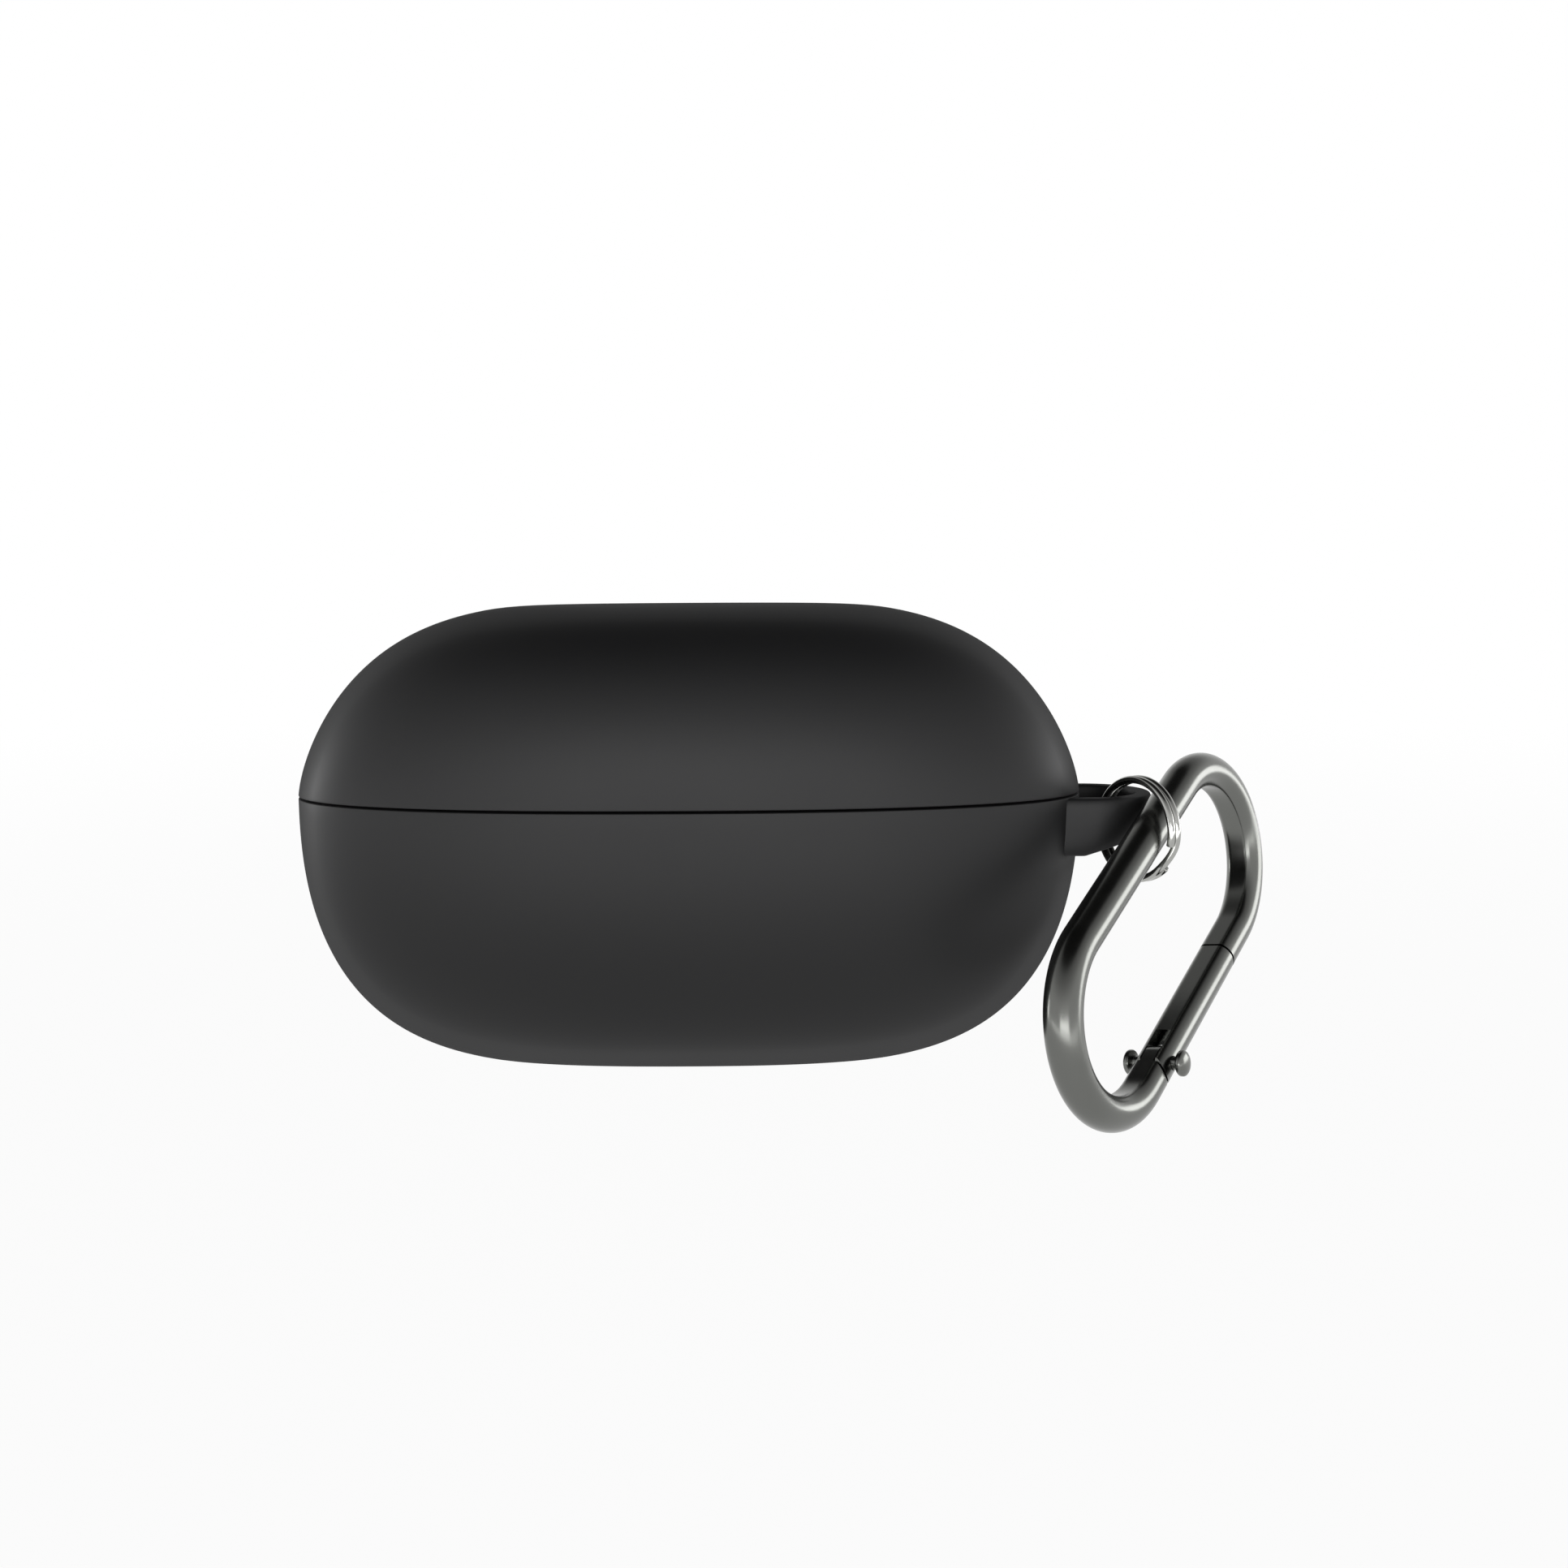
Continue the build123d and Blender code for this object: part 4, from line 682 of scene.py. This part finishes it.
tree.links.new(colour.outputs[2], skin.inputs["Base Color"])
tree.links.new(solid.outputs[0], skin.inputs["Metallic"])
skin.inputs["Roughness"].default_value = 0.36
for side, sign in (("left", -1), ("right", 1)):
    centre = (sign * BUD_SPACING / 2, 0.0, PARTING)
    bowl = lathe(side + "_bud_bowl", bowl_profile(), centre, closed=True)
    contact_x = sign * (BUD_SPACING / 2 - CONTACT_REACH * cos(CONTACT_TURN))
    holes = []
    for end, way in (("front", -1), ("rear", 1)):
        contact_y = way * CONTACT_REACH * sin(CONTACT_TURN)
        circle = [(contact_x + CONTACT_HOLE * cos(a), contact_y + CONTACT_HOLE * sin(a))
                  for a in np.linspace(0, 2 * pi, 40)[:-1]]
        holes.append(prism(side + "_" + end + "_hole", circle, PARTING - 5.5, PARTING - 1.2, "Z"))
        dressed(side + "_bud_contact_" + end, gold, "base")
    combine(bowl, holes)
    finish(bowl, bud_abs, "base", [side + "_bud_shell"])
    cap = lathe(side + "_bud_touch_cap", cap_profile(), centre, closed=False)
    finish(cap, piano_cap, "base", [side + "_bud_cap"])
    dressed(side + "_bud_tip", tip_rubber, "base")
    dressed(side + "_bud_mesh", etched, "base")
    dressed(side + "_bud_driver", turned, "base")
    dressed(side + "_bud_cell", coin, "base")

# ---- Split ring ----
# Spring steel wire, 0.7 mm thick and nickel-plated, wound in two close turns 9.7 mm across.
# It threads the strap's near wall, leans out from it and carries the carabiner.
RING_OUTER = 4.85
RING_WIRE = 0.70
RING_PITCH = 0.70                   # as far as the wire is thick, so the turns just touch
RING_RADIUS = RING_OUTER - 0.375    # to the wire's middle
RING_TURN = radians(36)
RING_SEAT = radians(32)
RING_PULL = 1.90
RING_HANG = 2.75
ring_centre = np.array([BEND_X + BEND_RADIUS * sin(RING_SEAT) + RING_PULL * sin(RING_TURN),
                        -BEND_RADIUS * cos(RING_SEAT) - RING_PULL * cos(RING_TURN), STRAP_TOP - RING_HANG])
ring_axis = np.array([cos(RING_TURN), sin(RING_TURN), 0.0])
ring_out = np.array([sin(RING_TURN), -cos(RING_TURN), 0.0])
ring_up = np.array([0.0, 0.0, 1.0])


def tube(path, radius, around=20, up=(0, 0, 1)):
    """Round wire along a path: circles square to the path, with a cut end, its rim rounded over a quarter.

    The circle's first direction is the up vector less its part along the path.
    """
    tangent = np.gradient(path, axis=0)
    tangent /= np.linalg.norm(tangent, axis=1, keepdims=True)
    up = np.broadcast_to(np.asarray(up, float), path.shape)
    first = up - (up * tangent).sum(1, keepdims=True) * tangent
    first /= np.linalg.norm(first, axis=1, keepdims=True)
    second = np.cross(tangent, first)
    angle = np.linspace(0, 2 * pi, around, endpoint=False)
    ring = np.cos(angle)[None, :, None] * first[:, None] + np.sin(angle)[None, :, None] * second[:, None]
    rounding = np.linspace(0, pi / 2, 5)[1:]
    ends = []
    for side, sign, turns in ((0, -1, rounding[::-1]), (-1, 1, rounding)):
        centre = path[side] + sign * tangent[side] * 0.25 * radius * np.sin(turns)[:, None]
        size = radius * (0.75 + 0.25 * np.cos(turns))
        ends.append(centre[:, None] + ring[side][None] * size[:, None, None])
    return np.concatenate([ends[0], path[:, None] + ring * radius, ends[1]])


def ring_path(steps=460):
    """Two turns of wire: the radius stays, and the place along the axis steps over by one pitch.

    The step is the smooth S 3t^2 - 2t^3 and lies between the wire's two ends, which are 33 degrees apart.
    """
    lap = np.linspace(0, radians(687), steps)
    step = np.clip((lap - radians(322)) / radians(43), 0, 1)
    aside = RING_PITCH * (step * step * (3 - 2 * step) - 0.5)
    angle = radians(-13) + lap
    return (ring_centre + RING_RADIUS * (np.cos(angle)[:, None] * ring_out + np.sin(angle)[:, None] * ring_up)
            + aside[:, None] * ring_axis)


# Bright nickel over drawn wire: a light mirror, broken a little by soft waves in the plate.
nickel = grained("nickel_plated_spring_steel", ("#a3a4a1", "#b0b0ac"), patch=4.0, grain=0.5, depth=0.002,
                 rough=(0.08, 0.18), metal=1.0)
wire = grid_piece("split_ring_wire", tube(ring_path(), RING_WIRE / 2, around=24, up=ring_axis))
finish(wire, nickel, "ring", ["split_ring"], crease=50)

# ---- Carabiner body ----
# Zinc alloy rod, 3.4 mm thick with a flat along its inner side, cast as an open oval, polished and plated
# black nickel.  The gate closes its open side, from a nose at the top to a tongue at the bottom.
ROD = 1.7
ROD_FLAT = 1.45
GATE_X = 8.25
ARC_Y = 11.7
GATE_TOP = 7.6
GATE_PIVOT = -8.0
SEAM = 0.25
SWEEP = GATE_TOP - GATE_PIVOT
GATE_FOOT = 1.75
PIVOT = (GATE_X, GATE_PIVOT)
CUT_HALF = 2 * ROD
CUT_DEEP = 3
# down runs along the spine to the oval's lower end, face stands square to the oval, gateward crosses both
SPINE_FROM_RING = np.array([-1.25, -4.79, -2.03])
down = np.array([-0.482, -0.743, -0.465])
down /= np.linalg.norm(down)
face = np.cross(down, np.array([0.373, 0.307, -0.876]))
face /= np.linalg.norm(face)
gateward = np.cross(face, down)
carabiner_axes = np.stack([gateward, -down, face])
carabiner_centre = ring_centre + SPINE_FROM_RING + GATE_X * gateward


def oval_path(start, end, steps=420):
    """Centre line of the oval from the top of its open side, over the top, down the spine and round again.

    It is a straight, a half circle of radius 8.25, a straight, a half circle and a straight, by length.
    Returns the points and the direction to the inside at each.
    """
    lengths = np.array([ARC_Y - start, pi * GATE_X, 2 * ARC_Y, pi * GATE_X, ARC_Y + end])
    ends = np.concatenate([[0], np.cumsum(lengths)])
    s = np.linspace(0, ends[-1], steps)
    straight = np.clip(s, 0, ends[1])
    turn = np.clip((s - ends[1]) / GATE_X, 0, pi) + np.clip((s - ends[3]) / GATE_X, 0, pi)
    spine = np.clip(s - ends[2], 0, lengths[2])
    tail = np.clip(s - ends[4], 0, None)
    x = GATE_X * np.cos(turn)
    y = start + straight + GATE_X * np.sin(turn) - spine + tail
    return np.stack([x, y, 0 * x], -1), np.stack([-np.cos(turn), -np.sin(turn), 0 * turn], -1)


def rod_sweep(path, inward, around=72, crease=0.10):
    """Rod section carried along a path: a circle of 1.7 mm cut by a flat at 1.45 mm on its inner side.

    The inner coordinate is the smooth minimum of 1.7 cos t and 1.45, and the side one is 1.7 sin t.
    """
    angle = np.linspace(0, 2 * pi, around, endpoint=False)
    inner = ROD * np.cos(angle)
    blend = np.clip(0.5 + 0.5 * (ROD_FLAT - inner) / crease, 0, 1)
    inner = inner * blend + ROD_FLAT * (1 - blend) - crease * blend * (1 - blend)
    side = ROD * np.sin(angle)
    return (path[:, None] + inner[None, :, None] * inward[:, None]
            + side[None, :, None] * np.array([0.0, 0.0, 1.0]))


def arc(centre, radius, start, end, steps=48):
    """Points of an arc, from one angle to another in degrees."""
    angle = np.radians(np.linspace(start, end, steps))
    return np.stack([centre[0] + radius * np.cos(angle), centre[1] + radius * np.sin(angle)], -1).tolist()


def placed(made, turned=np.eye(3), start=(0.0, 0.0, 0.0)):
    """Moves a flat-drawn piece to the carabiner: x goes to the gate, y to the top and z out of the face.

    The piece is first turned within the carabiner's own frame and moved to start, in millimetres.
    """
    points = np.empty(len(made.data.vertices) * 3)
    made.data.vertices.foreach_get("co", points)
    flat = np.array(start) * MM + points.reshape(-1, 3) @ turned
    made.data.vertices.foreach_set("co", (carabiner_centre * MM + flat @ carabiner_axes).ravel())
    made.data.update()
    return made


body = grid_piece("carabiner_rod", rod_sweep(*oval_path(GATE_TOP - 0.4, GATE_PIVOT - 1.2)))
lean = np.degrees(np.arcsin(CUT_HALF / SWEEP))
gate_sweep = arc(PIVOT, SWEEP, 90 - lean, 90 + lean)
gate_sweep += [(GATE_X - CUT_HALF, GATE_TOP - 2), (GATE_X + CUT_HALF, GATE_TOP - 2)]
tongue = [(GATE_X - 1.4, GATE_PIVOT - 3.1), (GATE_X + 1.4, GATE_PIVOT - 3.1)] + arc(PIVOT, 1.45, 0, 180, 24)
nose = rounded_outline(1.4, 1.3, 0.2, (GATE_X + 0.5, GATE_TOP - 0.25))
combine(body, [prism("gate_sweep", gate_sweep, -CUT_DEEP, CUT_DEEP, "Z"),
               prism("foot_room", arc(PIVOT, GATE_FOOT + SEAM, 0, 355, 72), -CUT_DEEP, CUT_DEEP, "Z")])
combine(body, [prism("tongue", tongue, -0.65, 0.65, "Z"), prism("nose", nose, -0.6, 0.6, "Z")], "UNION")
placed(body)
# Polished zinc under black nickel: a dark mirror with a faint orange peel and hairline wear.
black_nickel = grained("polished_black_nickel_plate", ("#696a67", "#71726f"), patch=7.0, grain=1.2,
                       depth=0.003, rough=(0.19, 0.26), metal=1.0)
finish(body, black_nickel, "carabiner", ["carabiner_body"], crease=28)

# ---- Gate, rivet, plunger and spring ----
# The gate is the same rod, forked at its foot over the body's tongue and notched at its top for the nose.
# A shouldered rivet is its pivot; a spring of 0.3 mm wire in its bore drives a plunger against the tongue.
SPRING_FOOT = GATE_PIVOT + 1.5
SPRING_WIRE = 0.28
gate_path = np.stack([np.full(90, GATE_X), np.linspace(GATE_PIVOT - 1.9, GATE_TOP, 90), np.zeros(90)], -1)
gate_in = np.broadcast_to(np.array([-1.0, 0.0, 0.0]), gate_path.shape)
gate = grid_piece("gate_rod", rod_sweep(gate_path, gate_in))
lean = np.degrees(np.arcsin(CUT_HALF / (SWEEP - SEAM)))
gate_reach = arc(PIVOT, SWEEP - SEAM, 90 - lean, 90 + lean) + [(GATE_X - CUT_HALF, GATE_PIVOT)]
gate_reach += arc(PIVOT, GATE_FOOT, 180, 360) + [(GATE_X + CUT_HALF, GATE_PIVOT)]
fork = rounded_outline(8, 5.8, 0.4, (GATE_X, GATE_PIVOT))
notch = rounded_outline(4, 1.75, 0.2, (GATE_X + 1.55, GATE_TOP - 0.375))
combine(gate, [prism("gate_reach", gate_reach, -CUT_DEEP, CUT_DEEP, "Z")], "INTERSECT")
combine(gate, [prism("fork", fork, -0.75, 0.75, "Z"), prism("notch", notch, -0.8, 0.8, "Z"),
               prism("pin_hole", arc(PIVOT, 0.65, 0, 355, 72), -CUT_DEEP, CUT_DEEP, "Z")])
placed(gate)
finish(gate, black_nickel, "gate", ["carabiner_gate"], crease=28)


def rivet_profile():
    """Rivet as (r, z) from end to end: a shank of radius 0.6 between two heads of radius 1.15.

    Each head's dome is a quarter ellipse, (1.15 sin t, 2.62 + 0.43 cos t), over a short straight rim.
    """
    head = [(1.15 * sin(a), 2.62 + 0.43 * cos(a)) for a in np.linspace(0, pi / 2, 14)]
    head += [(1.15, 2.42), (1.08, 2.32), (0.62, 2.30)]
    return head + [(0.6, 1.7), (0.6, -1.7)] + [(r, -z) for r, z in head[::-1]]


def plunger_profile():
    """Plunger as (r, z): a domed nose of radius 0.7, a straight side and a thinner spigot for the spring."""
    dome = [(0.7 * sin(a), 0.25 - 0.25 * cos(a)) for a in np.linspace(0, pi / 2, 10)]
    return dome + [(0.7, 1.6), (0.52, 1.62), (0.52, 2.38), (0, 2.4)]


def spring_path(turns=10, length=5.7, steps=320):
    """Helix of the spring's wire: (0.7 cos t, 0.7 sin t, 2.55 + 5.7 t / 20 pi), ten turns in 5.7 mm."""
    t = np.linspace(0, 2 * turns * pi, steps)
    return np.stack([0.7 * np.cos(t), 0.7 * np.sin(t), 2.55 + length * t / (2 * turns * pi)], -1)


rivet = placed(lathe("gate_rivet_turned", rivet_profile(), (GATE_X, GATE_PIVOT, 0), closed=False, turns=64))
finish(rivet, black_nickel, "carabiner", ["gate_rivet"], crease=40)
# Zinc-plated steel: a light grey with a slight blue, bright on the wire's crests.
spring_steel = grained("zinc_plated_spring_wire", ("#a6a8a8", "#b4b5b3"), patch=1.0, grain=0.08,
                       depth=0.002, rough=(0.2, 0.32), metal=1.0)
up_the_gate = np.array([(1, 0, 0), (0, 0, -1), (0, 1, 0)]), (GATE_X, SPRING_FOOT, 0)
plunger = lathe("gate_plunger_turned", plunger_profile(), (0, 0, 0), closed=False, turns=48)
placed(plunger, *up_the_gate)
finish(plunger, spring_steel, "gate", ["gate_plunger"])
spring = placed(grid_piece("gate_spring_wire", tube(spring_path(), SPRING_WIRE / 2, around=10)), *up_the_gate)
finish(spring, spring_steel, "gate", ["gate_spring"], crease=60)
